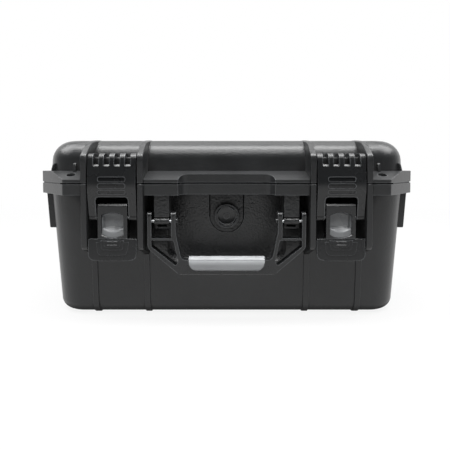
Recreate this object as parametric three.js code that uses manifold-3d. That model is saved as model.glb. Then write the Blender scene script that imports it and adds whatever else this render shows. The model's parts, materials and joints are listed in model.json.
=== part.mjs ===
import * as THREE from "three";
import { mergeVertices } from "three/addons/utils/BufferGeometryUtils.js";
import Module from "manifold-3d";

// A hard storage case for graded card slabs, with its lid shut.
// Millimetres, +X to the right of someone facing the latches, +Y to the hinges, +Z up.
// The origin is on the ground under the middle of the case.

const wasm = await Module();
wasm.setup();

// Overall form
const caseHeight = 189;
const lidHeight = 46;
const partingHeight = caseHeight - lidHeight;
const shellHalfWidth = 197;
const shellHalfDepth = 145;
const cornerRadius = 40;
const wall = 3.6;
const partingGap = 0.8;
const baseDraft = THREE.MathUtils.degToRad(4);
const lidDraft = THREE.MathUtils.degToRad(3);
const baseRound = 12;
const lidRound = 21;
const leastRound = 0.5;
const ribProud = 1.2;
const lidRibProud = 0.4;

// Clearances between pieces, and what a cut overruns
const seatGap = 0.3;
const runningGap = 0.3;
const foamGap = 0.6;
const overrun = 1;
const weldDistance = 0.0001;

// How finely round forms are faceted
const cornerSteps = 6;
const filletSteps = 3;
const curveSteps = 3;
const rodSides = 12;

// Flanges round the parting line
const flangeHalfWidth = 203;
const frontFlange = 24;
const rearFlange = 7.5;
const baseFlangeHeight = 11.2;
const lidFlangeHeight = 12.8;
const rampFootHeight = 4.4;
const tabHalfWidth = 162.6;
const chamferDepth = 46;
const recessDepth = 15;
const recessHalfWidth = 48.1;
const recessFlatHalfWidth = 37.7;
const padlockHoleRadius = 4.45;
const padlockHoleX = 158.8;
const padlockHoleSetback = 12.8;
const finThickness = 3;
const finHeight = 8.6;
const finReach = 3.5;

// Seal between the rims
const sealInset = 1.8;
const grooveWidth = 5;
const grooveDepth = 6;
const tongueWidth = 3;
const tongueHeight = 2.5;
const gasketBevel = 0.8;

// Latch bays and the ribs on each side of them
const latchX = 113.4;
const bayHalfWidth = 24.8;
const bumperWidth = 6.2;
const bumperReach = 3;
const bumperBottom = -64.6;
const bumperToe = -77;
const bumperShoulder = 24;
const bumperBrow = 30;
const bumperBrowReach = 0.5;
const bumperCrestReach = -17.6;
const bumperCrest = 43.5;
const bayFlangeReach = -7.5;
const bumperCornerRound = 1.2;

// Keeper bar that the claw hooks over
const keeperBarReach = -5.4;
const keeperBarThickness = 4;
const keeperBarTop = 26.5;
const keeperShelfTop = 17;
const keeperShelfThickness = 4;
const keeperBarRound = 1.4;

// Latch pivots, as reach in front of the flange and rise above the parting plane
const leverPivotReach = -11.3;
const leverPivotRise = -28;
const clawPivotReach = -3.8;
const clawPivotRise = -33.2;
const leverPinRadius = 2;
const clawPinRadius = 1.3;

// Claw
const clawHalfWidth = 24;
const clawThickness = 4.5;
const clawBellyReach = 3.5;
const clawBellyRise = -2;
const clawBellyFlat = 3;
const clawChestReach = 1.6;
const clawChestRise = 18;
const clawLegHalfGap = 15.95;
const clawArchTop = -12.8;
const clawArchRound = 4;
const clawEyeRadius = 3.2;
const clawCrownGap = 0.4;
const clawCrownThickness = 3.7;
const clawTipGap = 3;
const clawTipThickness = 3;
const clawTipDrop = 3;
const clawCrownRound = 4.5;
const toothCount = 5;
const toothPitch = 10.5;
const toothWidth = 4.9;
const toothRoot = 18;
const clawBarHalfWidth = 13.4;
const clawBarDepth = 1;
const clawBarHeight = 4.2;
const clawBarRises = [4.75, -1.9, -7.8];

// Lever
const tongueHalfWidth = 14.7;
const leverFrontReach = 1;
const leverPlate = 2;
const leverCheek = 2.2;
const leverTopRise = -19.5;
const leverTopBevel = 2.5;
const leverEyeRadius = 4.2;
const skirtHalfWidth = 24;
const skirtTop = -54.3;
const skirtCorner = -74.8;
const skirtBottom = -76.4;
const skirtFlare = 2;
const skirtThickness = 3;
const skirtCornerRound = 7;
const leverCheekReach = -8;
const springShelfTop = -70;
const springShelfThickness = 2.2;
const windowHalfWidth = 10.7;
const windowTop = -28.3;
const windowBottom = -53.4;
const windowArch = 3;

// Trigger that slides in the lever
const triggerTravel = 3.2;
const triggerTop = -24.5;
const triggerBottom = -60;
const triggerBack = -5.8;
const scoopHalfWidth = 9;
const scoopTop = -29.6;
const scoopReach = -4.2;
const ledgeTop = -42.6;
const ledgeFoot = -48.6;
const catchHalfWidth = 6;
const catchArmTop = -56.4;
const catchArmThickness = 3;
const catchHookRise = -53.2;
const catchHookThickness = 1.8;
const catchHookBack = -19.4;
const springRadius = 1.8;
const springWire = 0.45;
const springTurns = 4;
const springStepsPerTurn = 8;
const springWireSides = 5;

// Catch keeper on the wall of the base
const catchKeeperHalfWidth = 8;
const catchKeeperShelfTop = -46.7;
const catchKeeperShelf = 2.5;
const catchKeeperLip = 1.6;
const catchKeeperDrop = 6.5;

// Carrying handle
const handlePinReach = -5.5;
const handlePinRise = -37.6;
const handlePinRadius = 1.6;
const handleThickness = 11;
const handleEarTop = 9.6;
const handleOuterX = 78.9;
const handleOuterLegX = 75.1;
const handleInnerLegX = 55.4;
const handleInnerX = 51;
const handleRibTop = -54.1;
const handleRibThickness = 2;
const handleKneeRise = -64.1;
const handleHoleKnee = -62.6;
const handleElbowX = 51;
const handleElbowRise = -81.7;
const handleElbowShift = 2.7;
const handleElbowLift = 4;
const handleBottom = -91.3;
const handleBottomHalfWidth = 47;
const handleWaistRise = -48.6;
const handleBarInnerX = 45.2;
const handleBarTop = -76;
const handleWebWidth = 4;
const handleEdgeRound = 0.9;
const earRound = 4.6;
const pinBossRadius = 2.8;
const pinBossProud = 1.6;

// Grip over the handle's bar
const gripHalfWidth = 38.2;
const gripTop = -72.7;
const gripBottom = -87.2;
const gripThickness = 13.6;
const gripCoreThickness = 5;
const gripCornerRound = 10;
const gripCornerShare = 0.25;
const gripCrownRound = 6.8;

// Lugs of the base that carry the handle
const lugInnerX = 57.4;
const lugOuterX = 72.8;
const lugPlateReach = -3;
const lugPlateThickness = 5;
const lugBarrelRadius = 3.6;
const lugWeb = 3;
const lugFoot = -45.4;
const lugShelf = 2.6;

// Finger pocket, valve boss and valve
const pocketHalfWidth = 62;
const pocketTop = -6;
const pocketBottom = -75;
const pocketDepth = 5;
const pocketSoftness = 6;
const pocketCornerRound = 14;
const valveRise = -34.7;
const bossRadius = 17.5;
const bossProud = 1.2;
const valveRadius = 13.1;
const valveFlange = 4.6;
const valveStemRadius = 8;
const valveBoreRadius = 5;
const valveDishRadius = 11.2;
const valveCapThickness = 3;
const valveCapInset = 0.5;
const valveBowlDepth = 1.6;
const valveBowlRadius = 9.2;
const valveBowlSteps = 3;
const ventInnerRadius = 9.6;
const ventOuterRadius = 10.7;
const ventShare = 0.11;
const ventCount = 4;
const ventTurn = THREE.MathUtils.degToRad(57);
const dimpleRadius = 3.2;
const dimpleDepth = 0.6;
const nutRadius = 12;
const nutThickness = 4;
const nutSides = 6;
const valveSealRadius = 0.75;
const valveSealSides = 6;
const valveSides = 24;

// Ribs on the side walls
const sideRibInset = 0.5;
const sideRibWidth = 7;
const sideRibFoot = -51.5;
const sideRibRound = 1;
const sideRibSetback = 55;

// Hinges at the back
const hingeX = 105;
const hingeBarrelRadius = 5.5;
const hingeAxisSetback = 6;
const hingePinRadius = 2.2;
const knuckleCount = 5;
const knuckleWidth = 14;
const knuckleGap = 0.5;
const hingePinHead = 1;

// Foam
const padThickness = 8;
const foamDrop = 4;
const slabRowCount = 3;
const slabRowPitch = 108;
const slabRowWidth = 87;
const slabRowLength = 238;
const slabRowRound = 3;
const lidFoamThickness = 25;

// Places worked out from the sizes above
const frontPlane = -(shellHalfDepth + frontFlange);
const lidBottom = partingHeight + partingGap;
const lidSurface = caseHeight - lidRibProud;
const hingeY = shellHalfDepth + rearFlange + hingeAxisSetback;
const hingeZ = partingHeight + partingGap / 2;
const foremost = Math.max(bumperReach, clawBellyReach, leverFrontReach + skirtFlare);
const frontExtent = frontPlane - foremost;
const rearExtent = hingeY + hingeBarrelRadius;
const centreShift = -(frontExtent + rearExtent) / 2;

// Materials
function finish(color, roughness, metalness) {
  return new THREE.MeshStandardMaterial({ color, roughness, metalness });
}
const shellPlastic = finish(0x2c2d2f, 0.6, 0);
const latchPlastic = finish(0x292a2c, 0.5, 0);
const greyPlastic = finish(0xa7a9ab, 0.5, 0);
const greyRubber = finish(0xb4b6b8, 0.7, 0);
const steel = finish(0xc9cbcd, 0.25, 1);
const foamBlack = finish(0x1b1b1d, 0.95, 0);
const sealRubber = finish(0x101012, 0.8, 0);

// Solids from closed geometries
function toSolid(geometry) {
  const bare = new THREE.BufferGeometry();
  bare.setAttribute("position", geometry.getAttribute("position"));
  if (geometry.index) bare.setIndex(geometry.index);
  const merged = mergeVertices(bare, weldDistance);
  const mesh = new wasm.Mesh({
    numProp: 3,
    vertProperties: new Float32Array(merged.getAttribute("position").array),
    triVerts: new Uint32Array(merged.index.array),
  });
  return new wasm.Manifold(mesh);
}

function joined(solids) {
  return solids.reduce((whole, next) => whole.add(next));
}

function without(solid, cuts) {
  return cuts.reduce((rest, cut) => rest.subtract(cut), solid);
}

function toGeometry(solid) {
  const mesh = solid.getMesh();
  const geometry = new THREE.BufferGeometry();
  const places = new Float32Array(mesh.vertProperties);
  geometry.setAttribute("position", new THREE.BufferAttribute(places, mesh.numProp));
  geometry.setIndex(new THREE.BufferAttribute(new Uint32Array(mesh.triVerts), 1));
  geometry.computeVertexNormals();
  return geometry;
}

function box(xs, ys, zs) {
  const geometry = new THREE.BoxGeometry(xs[1] - xs[0], ys[1] - ys[0], zs[1] - zs[0]);
  geometry.translate((xs[0] + xs[1]) / 2, (ys[0] + ys[1]) / 2, (zs[0] + zs[1]) / 2);
  return toSolid(geometry);
}

// Extrusions of a flat outline: along X the outline is in Y and Z, along Y in X and Z, up in X and Y
const alongX = new THREE.Matrix4().makeBasis(
  new THREE.Vector3(0, 1, 0),
  new THREE.Vector3(0, 0, 1),
  new THREE.Vector3(1, 0, 0),
);
const alongY = new THREE.Matrix4().makeBasis(
  new THREE.Vector3(1, 0, 0),
  new THREE.Vector3(0, 0, 1),
  new THREE.Vector3(0, -1, 0),
);

function extruded(shape, depth) {
  return new THREE.ExtrudeGeometry(shape, { depth, curveSegments: curveSteps, bevelEnabled: false });
}

function extrudeX(shape, from, to) {
  return toSolid(extruded(shape, to - from).applyMatrix4(alongX).translate(from, 0, 0));
}

function extrudeY(shape, from, to) {
  return toSolid(extruded(shape, to - from).applyMatrix4(alongY).translate(0, to, 0));
}

function extrudeZ(shape, from, to) {
  return toSolid(extruded(shape, to - from).translate(0, 0, from));
}

// A closed outline through corners [x, y, radius]; a corner with a radius is rounded
function roundedShape(corners) {
  const shape = new THREE.Shape();
  corners.forEach(([x, y, radius = 0], index) => {
    const before = corners.at(index - 1);
    const after = corners[(index + 1) % corners.length];
    const corner = new THREE.Vector2(x, y);
    const back = new THREE.Vector2(before[0], before[1]).sub(corner);
    const ahead = new THREE.Vector2(after[0], after[1]).sub(corner);
    const cut = Math.min(radius, back.length() / 2, ahead.length() / 2);
    const entry = corner.clone().addScaledVector(back.normalize(), cut);
    const exit = corner.clone().addScaledVector(ahead.normalize(), cut);
    if (index === 0) shape.moveTo(entry.x, entry.y);
    else shape.lineTo(entry.x, entry.y);
    if (cut > 0) shape.quadraticCurveTo(x, y, exit.x, exit.y);
  });
  shape.closePath();
  return shape;
}

// Corners given as reach and rise, turned into the Y and Z of an outline that is extruded along X
function sideShape(corners) {
  const placed = corners.map(([reach, rise, radius]) => [frontPlane - reach, partingHeight + rise, radius]);
  return roundedShape(placed);
}

// Corners given as X and rise, for an outline that is extruded along Y
function frontShape(corners) {
  return roundedShape(corners.map(([x, rise, radius]) => [x, partingHeight + rise, radius]));
}

function rodX(radius, from, to, reach, rise, sides = rodSides) {
  const geometry = new THREE.CylinderGeometry(radius, radius, to - from, sides);
  geometry.rotateZ(Math.PI / 2);
  geometry.translate((from + to) / 2, frontPlane - reach, partingHeight + rise);
  return toSolid(geometry);
}

function rodY(radius, from, to, x, z, sides = rodSides) {
  const geometry = new THREE.CylinderGeometry(radius, radius, to - from, sides);
  geometry.translate(0, (from + to) / 2, 0);
  return toSolid(geometry.translate(x, 0, z));
}

function rodZ(radius, from, to, x, y, sides = rodSides) {
  const geometry = new THREE.CylinderGeometry(radius, radius, to - from, sides);
  geometry.rotateX(Math.PI / 2);
  return toSolid(geometry.translate(x, y, (from + to) / 2));
}

// A rounded rectangle in plan, as points that run anticlockwise
function planOutline(halfWidth, halfDepth, radius) {
  const points = [];
  const centres = [
    [1, 1],
    [-1, 1],
    [-1, -1],
    [1, -1],
  ];
  centres.forEach(([signX, signY], quarter) => {
    for (let step = 0; step <= cornerSteps; step += 1) {
      const angle = (Math.PI / 2) * (quarter + step / cornerSteps);
      const x = signX * (halfWidth - radius) + radius * Math.cos(angle);
      const y = signY * (halfDepth - radius) + radius * Math.sin(angle);
      points.push(new THREE.Vector2(x, y));
    }
  });
  return points;
}

// A closed solid through outlines with the same number of points, from the lowest to the highest
function loft(rings) {
  const count = rings[0].outline.length;
  const places = rings.flatMap(({ outline, z }) => outline.flatMap((point) => [point.x, point.y, z]));
  const faces = [];
  for (let ring = 0; ring < rings.length - 1; ring += 1) {
    for (let index = 0; index < count; index += 1) {
      const near = ring * count + index;
      const next = ring * count + ((index + 1) % count);
      faces.push(near, next, next + count, near, next + count, near + count);
    }
  }
  const top = (rings.length - 1) * count;
  for (const [a, b, c] of THREE.ShapeUtils.triangulateShape(rings[0].outline, [])) {
    faces.push(c, b, a);
    faces.push(top + a, top + b, top + c);
  }
  const geometry = new THREE.BufferGeometry();
  geometry.setAttribute("position", new THREE.Float32BufferAttribute(places, 3));
  geometry.setIndex(faces);
  return toSolid(geometry);
}

// The plan of the shells at the parting line, drawn in by an inset
function shellPlan(inset) {
  const radius = Math.max(cornerRadius - inset, leastRound);
  return planOutline(shellHalfWidth - inset, shellHalfDepth - inset, radius);
}

// The outside of the base, drawn in by an inset on every face
function baseForm(inset, top) {
  const round = Math.max(baseRound - inset, leastRound);
  const floor = ribProud + inset;
  const rings = [];
  for (let step = 0; step <= filletSteps; step += 1) {
    const angle = ((Math.PI / 2) * step) / filletSteps;
    const z = floor + round * (1 - Math.cos(angle));
    const lean = (partingHeight - z) * Math.tan(baseDraft);
    rings.push({ outline: shellPlan(inset + lean + round * (1 - Math.sin(angle))), z });
  }
  rings.push({ outline: shellPlan(inset + (partingHeight - top) * Math.tan(baseDraft)), z: top });
  return loft(rings);
}

// The outside of the lid, drawn in by an inset on every face
function lidForm(inset, bottom) {
  const round = Math.max(lidRound - inset, leastRound);
  const ceiling = lidSurface - inset;
  const rings = [{ outline: shellPlan(inset + (bottom - partingHeight) * Math.tan(lidDraft)), z: bottom }];
  for (let step = filletSteps; step >= 0; step -= 1) {
    const angle = ((Math.PI / 2) * step) / filletSteps;
    const z = ceiling - round * (1 - Math.cos(angle));
    const lean = (z - partingHeight) * Math.tan(lidDraft);
    rings.push({ outline: shellPlan(inset + lean + round * (1 - Math.sin(angle))), z });
  }
  return loft(rings);
}

// A ring that follows the rim, between two distances outside the cavity
function rimRing(innerOffset, outerOffset, from, to) {
  const outer = new THREE.Shape(shellPlan(wall - outerOffset));
  outer.holes.push(new THREE.Path(shellPlan(wall - innerOffset)));
  return extrudeZ(outer, from, to);
}

// The plan of both flanges: lock tabs with cut corners, and a finger recess between them
function flangePlan() {
  const rearRound = cornerRadius + rearFlange;
  const rearY = shellHalfDepth + rearFlange;
  const shape = new THREE.Shape();
  shape.moveTo(recessFlatHalfWidth, frontPlane + recessDepth);
  shape.quadraticCurveTo(recessHalfWidth, frontPlane + recessDepth, recessHalfWidth, frontPlane);
  shape.lineTo(tabHalfWidth, frontPlane);
  shape.lineTo(flangeHalfWidth, frontPlane + chamferDepth);
  shape.lineTo(flangeHalfWidth, rearY - rearRound);
  shape.absarc(flangeHalfWidth - rearRound, rearY - rearRound, rearRound, 0, Math.PI / 2);
  shape.lineTo(rearRound - flangeHalfWidth, rearY);
  shape.absarc(rearRound - flangeHalfWidth, rearY - rearRound, rearRound, Math.PI / 2, Math.PI);
  shape.lineTo(-flangeHalfWidth, frontPlane + chamferDepth);
  shape.lineTo(-tabHalfWidth, frontPlane);
  shape.lineTo(-recessHalfWidth, frontPlane);
  const recessY = frontPlane + recessDepth;
  shape.quadraticCurveTo(-recessHalfWidth, recessY, -recessFlatHalfWidth, recessY);
  shape.closePath();
  return shape;
}

function bothSides(make) {
  return [-1, 1].map(make);
}

// Cuts that both flanges share: the two latch bays and the two padlock holes
function flangeCuts(from, to) {
  const bays = bothSides((side) => {
    const middle = side * latchX;
    const ys = [frontPlane - overrun, frontPlane - bayFlangeReach];
    return box([middle - bayHalfWidth, middle + bayHalfWidth], ys, [from - overrun, to + overrun]);
  });
  const holes = bothSides((side) => {
    const y = frontPlane + padlockHoleSetback;
    return rodZ(padlockHoleRadius, from - overrun, to + overrun, side * padlockHoleX, y);
  });
  return [...bays, ...holes];
}

// The X ranges of the ribs beside the latch bays
function bumperSpans() {
  return bothSides((side) => {
    const middle = side * latchX;
    const inner = middle - bayHalfWidth;
    const outer = middle + bayHalfWidth;
    return [
      [inner - bumperWidth, inner],
      [outer, outer + bumperWidth],
    ];
  }).flat();
}

// Base shell
function baseBumpers() {
  const inside = -(frontFlange + wall / 2);
  const toeInside = inside + bumperToe * Math.tan(baseDraft);
  const outline = sideShape([
    [inside, 0],
    [bumperReach, 0],
    [bumperReach, bumperBottom, bumperCornerRound * 4],
    [toeInside, bumperToe],
  ]);
  return bumperSpans().map(([from, to]) => extrudeX(outline, from, to));
}

// Thin ribs that run down the front, under the base as feet, and up the back
function baseRibs() {
  const grown = baseForm(-ribProud, partingHeight + bumperToe + bumperCornerRound);
  return bumperSpans().map(([from, to]) => {
    const ys = [-shellHalfDepth - overrun, shellHalfDepth + overrun];
    return grown.intersect(box([from, to], ys, [-overrun, partingHeight]));
  });
}

function sideRibs() {
  const inside = shellHalfWidth - wall / 2 + sideRibFoot * Math.tan(baseDraft);
  const reach = flangeHalfWidth - sideRibInset;
  const footReach = reach + (sideRibFoot + baseFlangeHeight) * Math.tan(baseDraft);
  const outline = frontShape([
    [inside, -baseFlangeHeight / 2],
    [inside, sideRibFoot],
    [footReach, sideRibFoot, sideRibRound],
    [reach, -baseFlangeHeight, sideRibRound],
    [reach, -baseFlangeHeight / 2],
  ]);
  const mirrored = frontShape([
    [-inside, -baseFlangeHeight / 2],
    [-reach, -baseFlangeHeight / 2],
    [-reach, -baseFlangeHeight, sideRibRound],
    [-footReach, sideRibFoot, sideRibRound],
    [-inside, sideRibFoot],
  ]);
  const front = frontPlane + sideRibSetback;
  return [front, -front - sideRibWidth].flatMap((y) => [
    extrudeY(outline, y, y + sideRibWidth),
    extrudeY(mirrored, y, y + sideRibWidth),
  ]);
}

// The catch keeper: a shelf out of the wall with a lip that hangs in front of the trigger's hook
function catchKeeper(middle) {
  const inside = -(frontFlange + wall / 2) + catchKeeperShelfTop * Math.tan(baseDraft);
  const front = catchHookBack + catchHookThickness + seatGap + catchKeeperLip;
  const outline = sideShape([
    [inside, catchKeeperShelfTop],
    [front, catchKeeperShelfTop],
    [front, catchKeeperShelfTop - catchKeeperShelf - catchKeeperDrop],
    [front - catchKeeperLip, catchKeeperShelfTop - catchKeeperShelf - catchKeeperDrop],
    [front - catchKeeperLip, catchKeeperShelfTop - catchKeeperShelf],
    [inside, catchKeeperShelfTop - catchKeeperShelf],
  ]);
  return extrudeX(outline, middle - catchKeeperHalfWidth, middle + catchKeeperHalfWidth);
}

// A lug that carries the handle: a strap under the flange with a barrel at its foot, webs and a shelf
function handleLug(side) {
  const [from, to] = side > 0 ? [lugInnerX, lugOuterX] : [-lugOuterX, -lugInnerX];
  const inside = -(frontFlange + wall / 2) + lugFoot * Math.tan(baseDraft);
  const back = lugPlateReach - lugPlateThickness;
  const top = -baseFlangeHeight / 2;
  const strap = sideShape([
    [back, top],
    [lugPlateReach, top],
    [lugPlateReach, handlePinRise],
    [back, lugFoot, lugShelf],
  ]);
  const web = sideShape([
    [inside, top],
    [back + overrun, top],
    [back + overrun, lugFoot],
    [inside, lugFoot],
  ]);
  const shelf = sideShape([
    [inside, lugFoot + lugShelf],
    [back + overrun, lugFoot + lugShelf],
    [back + overrun, lugFoot],
    [inside, lugFoot],
  ]);
  return joined([
    extrudeX(strap, from, to),
    rodX(lugBarrelRadius, from, to, handlePinReach, handlePinRise),
    extrudeX(web, from, from + lugWeb),
    extrudeX(web, to - lugWeb, to),
    extrudeX(shelf, from, to),
  ]);
}

// The soft-edged finger pocket behind the handle, grown by a margin, leaning as the wall does
function pocketForm(margin) {
  const level = (pocketTop + pocketBottom) / 2;
  const halfHeight = (pocketTop - pocketBottom) / 2 + margin;
  const ring = (shrink, y) => ({
    outline: planOutline(pocketHalfWidth + margin - shrink, halfHeight - shrink, pocketCornerRound),
    z: y,
  });
  const geometryRings = [ring(-pocketSoftness / 2, -overrun), ring(pocketSoftness / 2, pocketDepth + margin)];
  const lying = loft(geometryRings);
  const lean = Math.tan(baseDraft);
  const front = -shellHalfDepth - level * lean;
  const matrix = new THREE.Matrix4().set(
    1, 0, 0, 0,
    0, -lean, 1, front,
    0, 1, 0, partingHeight + level,
    0, 0, 0, 1,
  );
  const mirroredBack = new THREE.Matrix4().makeScale(-1, 1, 1);
  return toSolid(toGeometry(lying.transform(matrix.multiply(mirroredBack).toArray())));
}

const pocketFloorY = -shellHalfDepth - valveRise * Math.tan(baseDraft) + pocketDepth;
const bossFaceY = pocketFloorY - bossProud - bossRadius * Math.tan(baseDraft);
const valveZ = partingHeight + valveRise;
const nutFaceY = pocketFloorY + wall + bossRadius * Math.tan(baseDraft);

// The boss round the valve, U-shaped below the flange, grown by a margin
function bossForm(fromY, toY) {
  const shape = new THREE.Shape();
  shape.moveTo(-bossRadius, partingHeight - baseFlangeHeight / 2);
  shape.lineTo(-bossRadius, valveZ);
  shape.absarc(0, valveZ, bossRadius, Math.PI, 2 * Math.PI);
  shape.lineTo(bossRadius, partingHeight - baseFlangeHeight / 2);
  shape.closePath();
  return extrudeY(shape, fromY, toY);
}

function knuckles(owner) {
  const pieces = [];
  const span = knuckleCount * knuckleWidth;
  for (const side of [-1, 1]) {
    for (let index = 0; index < knuckleCount; index += 1) {
      if (index % 2 !== owner) continue;
      const from = side * hingeX - span / 2 + index * knuckleWidth + knuckleGap / 2;
      pieces.push([from, from + knuckleWidth - knuckleGap]);
    }
  }
  return pieces;
}

// One hinge knuckle, joined to its flange by a web above or below the parting plane
function knuckle([from, to], direction) {
  const reach = frontPlane - hingeY;
  const barrel = rodX(hingeBarrelRadius, from, to, reach, partingGap / 2);
  const flangeY = shellHalfDepth + rearFlange;
  const near = hingeZ + (direction * partingGap) / 2;
  const far = hingeZ + direction * hingeBarrelRadius;
  const web = box([from, to], [flangeY - overrun, hingeY], [Math.min(near, far), Math.max(near, far)]);
  return barrel.add(web);
}

function hingeBores() {
  const half = (knuckleCount * knuckleWidth) / 2 + overrun;
  return bothSides((side) => {
    const reach = frontPlane - hingeY;
    return rodX(hingePinRadius + seatGap, side * hingeX - half, side * hingeX + half, reach, partingGap / 2);
  });
}

function makeBaseShell() {
  const flangeBottom = partingHeight - baseFlangeHeight;
  const plate = extrudeZ(flangePlan(), flangeBottom, partingHeight);
  const flange = without(plate, flangeCuts(flangeBottom, partingHeight));
  const outside = joined([
    baseForm(0, partingHeight),
    flange,
    ...baseBumpers(),
    ...baseRibs(),
    ...sideRibs(),
    ...bothSides((side) => catchKeeper(side * latchX)),
  ]);
  const fronted = outside
    .subtract(pocketForm(0).intersect(pocketZone()))
    .add(bossForm(bossFaceY, pocketFloorY + wall / 2))
    .add(joined(bothSides(handleLug)));
  const cavity = baseForm(wall, partingHeight + overrun)
    .subtract(pocketForm(wall))
    .subtract(bossForm(bossFaceY, nutFaceY));
  const hollow = fronted.subtract(cavity);
  const tongueInner = sealInset + (grooveWidth - tongueWidth) / 2;
  const tongueOuter = tongueInner + tongueWidth;
  const tongue = rimRing(tongueInner, tongueOuter, partingHeight - overrun, partingHeight + tongueHeight);
  const whole = joined([hollow, tongue, ...knuckles(0).map((span) => knuckle(span, -1))]);
  const leverPin = bothSides((side) => {
    const half = bayHalfWidth + bumperWidth + overrun;
    const radius = leverPinRadius + seatGap;
    return rodX(radius, side * latchX - half, side * latchX + half, leverPivotReach, leverPivotRise);
  });
  const handlePin = bothSides((side) => {
    const middle = (side * (lugInnerX + lugOuterX)) / 2;
    const half = (lugOuterX - lugInnerX) / 2 + overrun;
    return rodX(handlePinRadius + seatGap, middle - half, middle + half, handlePinReach, handlePinRise);
  });
  const stemRoom = valveStemRadius + seatGap;
  const valveHole = rodY(stemRoom, bossFaceY - overrun, nutFaceY + overrun, 0, valveZ, valveSides);
  const sealSeat = valveStemRadius + 2 * (valveSealRadius + seatGap);
  const sealFloor = bossFaceY + 2 * valveSealRadius + seatGap;
  const sealRoom = rodY(sealSeat, bossFaceY - overrun, sealFloor, 0, valveZ, valveSides);
  return without(whole, [...hingeBores(), ...leverPin, ...handlePin, valveHole, sealRoom]);
}

// The pocket stays below the flange
function pocketZone() {
  const half = pocketHalfWidth + pocketSoftness;
  const depth = [frontPlane, 0];
  return box([-half, half], depth, [0, partingHeight - baseFlangeHeight]);
}

// Lid shell
function lidRamp() {
  const outline = sideShape([
    [overrun, rampFootHeight - (overrun * (lidFlangeHeight - rampFootHeight)) / frontFlange],
    [-frontFlange, lidFlangeHeight],
    [-frontFlange, lidFlangeHeight + overrun],
    [overrun, lidFlangeHeight + overrun],
  ]);
  return extrudeX(outline, -flangeHalfWidth - overrun, flangeHalfWidth + overrun);
}

function lidBumpers() {
  const top = lidSurface - partingHeight;
  const outline = sideShape([
    [-(frontFlange + lidRound), partingGap],
    [bumperReach, partingGap],
    [bumperReach, bumperShoulder, bumperCornerRound * 4],
    [bumperBrowReach, bumperBrow, bumperCornerRound * 2],
    [bumperCrestReach, bumperCrest, lidRound],
    [-(frontFlange + lidRound), top + lidRibProud],
  ]);
  return bumperSpans().map(([from, to]) => extrudeX(outline, from, to));
}

function lidRibs() {
  const grown = lidForm(-lidRibProud, partingHeight + lidFlangeHeight);
  return bumperSpans().map(([from, to]) => {
    const zs = [partingHeight + lidFlangeHeight / 2, caseHeight + overrun];
    return grown.intersect(box([from, to], [-shellHalfDepth, shellHalfDepth + overrun], zs));
  });
}

// The bar that a claw hooks over, on a shelf out of the lid's wall
function keeperBar(middle) {
  const inside = -(frontFlange + wall / 2 + keeperBarTop * Math.tan(lidDraft));
  const back = keeperBarReach - keeperBarThickness;
  const outline = sideShape([
    [inside, keeperShelfTop - keeperShelfThickness],
    [keeperBarReach, keeperShelfTop - keeperShelfThickness],
    [keeperBarReach, keeperBarTop, keeperBarRound],
    [back, keeperBarTop, keeperBarRound],
    [back, keeperShelfTop],
    [inside, keeperShelfTop],
  ]);
  return extrudeX(outline, middle - bayHalfWidth - overrun, middle + bayHalfWidth + overrun);
}

// Small fins that brace the flange against the lid's wall near the padlock holes
function flangeFins() {
  const z = partingHeight + lidFlangeHeight;
  const outline = sideShape([
    [-frontFlange + finReach, lidFlangeHeight - finHeight / 2],
    [-frontFlange + finReach, lidFlangeHeight - finHeight / 4],
    [-frontFlange - wall / 2, z - partingHeight + finHeight],
    [-frontFlange - wall / 2, lidFlangeHeight - finHeight / 2],
  ]);
  const straight = bothSides((side) => {
    const middle = side * padlockHoleX;
    return extrudeX(outline, middle - finThickness / 2, middle + finThickness / 2);
  });
  const cornerX = shellHalfWidth - cornerRadius;
  const cornerY = frontPlane + frontFlange + cornerRadius;
  const cornered = straight.map((fin, index) => {
    const side = index === 0 ? -1 : 1;
    const turned = toGeometry(fin);
    turned.translate(-side * padlockHoleX, -cornerY, 0);
    turned.rotateZ((side * Math.PI) / 4);
    turned.translate(side * cornerX, cornerY, 0);
    return toSolid(turned);
  });
  return [...straight, ...cornered];
}

function makeLidShell() {
  const flangeTop = partingHeight + lidFlangeHeight;
  const plate = extrudeZ(flangePlan(), lidBottom, flangeTop);
  const flange = without(plate, [lidRamp(), ...flangeCuts(lidBottom, flangeTop)]);
  const outside = joined([
    lidForm(0, lidBottom),
    flange,
    ...lidBumpers(),
    ...lidRibs(),
    ...flangeFins(),
    ...bothSides((side) => keeperBar(side * latchX)),
  ]);
  const cavity = lidForm(wall, lidBottom - overrun);
  const grooveOuter = sealInset + grooveWidth;
  const groove = rimRing(sealInset, grooveOuter, lidBottom - overrun, partingHeight + grooveDepth);
  const hollow = without(outside, [cavity, groove]);
  const whole = joined([hollow, ...knuckles(1).map((span) => knuckle(span, 1))]);
  return without(whole, hingeBores());
}

// Gasket in the lid's groove, with bevelled corners
function makeGasket() {
  const bottom = partingHeight + tongueHeight + seatGap;
  const top = partingHeight + grooveDepth - seatGap;
  const inner = sealInset + seatGap;
  const outer = sealInset + grooveWidth - seatGap;
  const wide = rimRing(inner, outer, bottom + gasketBevel, top);
  const narrow = rimRing(inner + gasketBevel, outer - gasketBevel, bottom, top);
  return wide.add(narrow);
}

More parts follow.
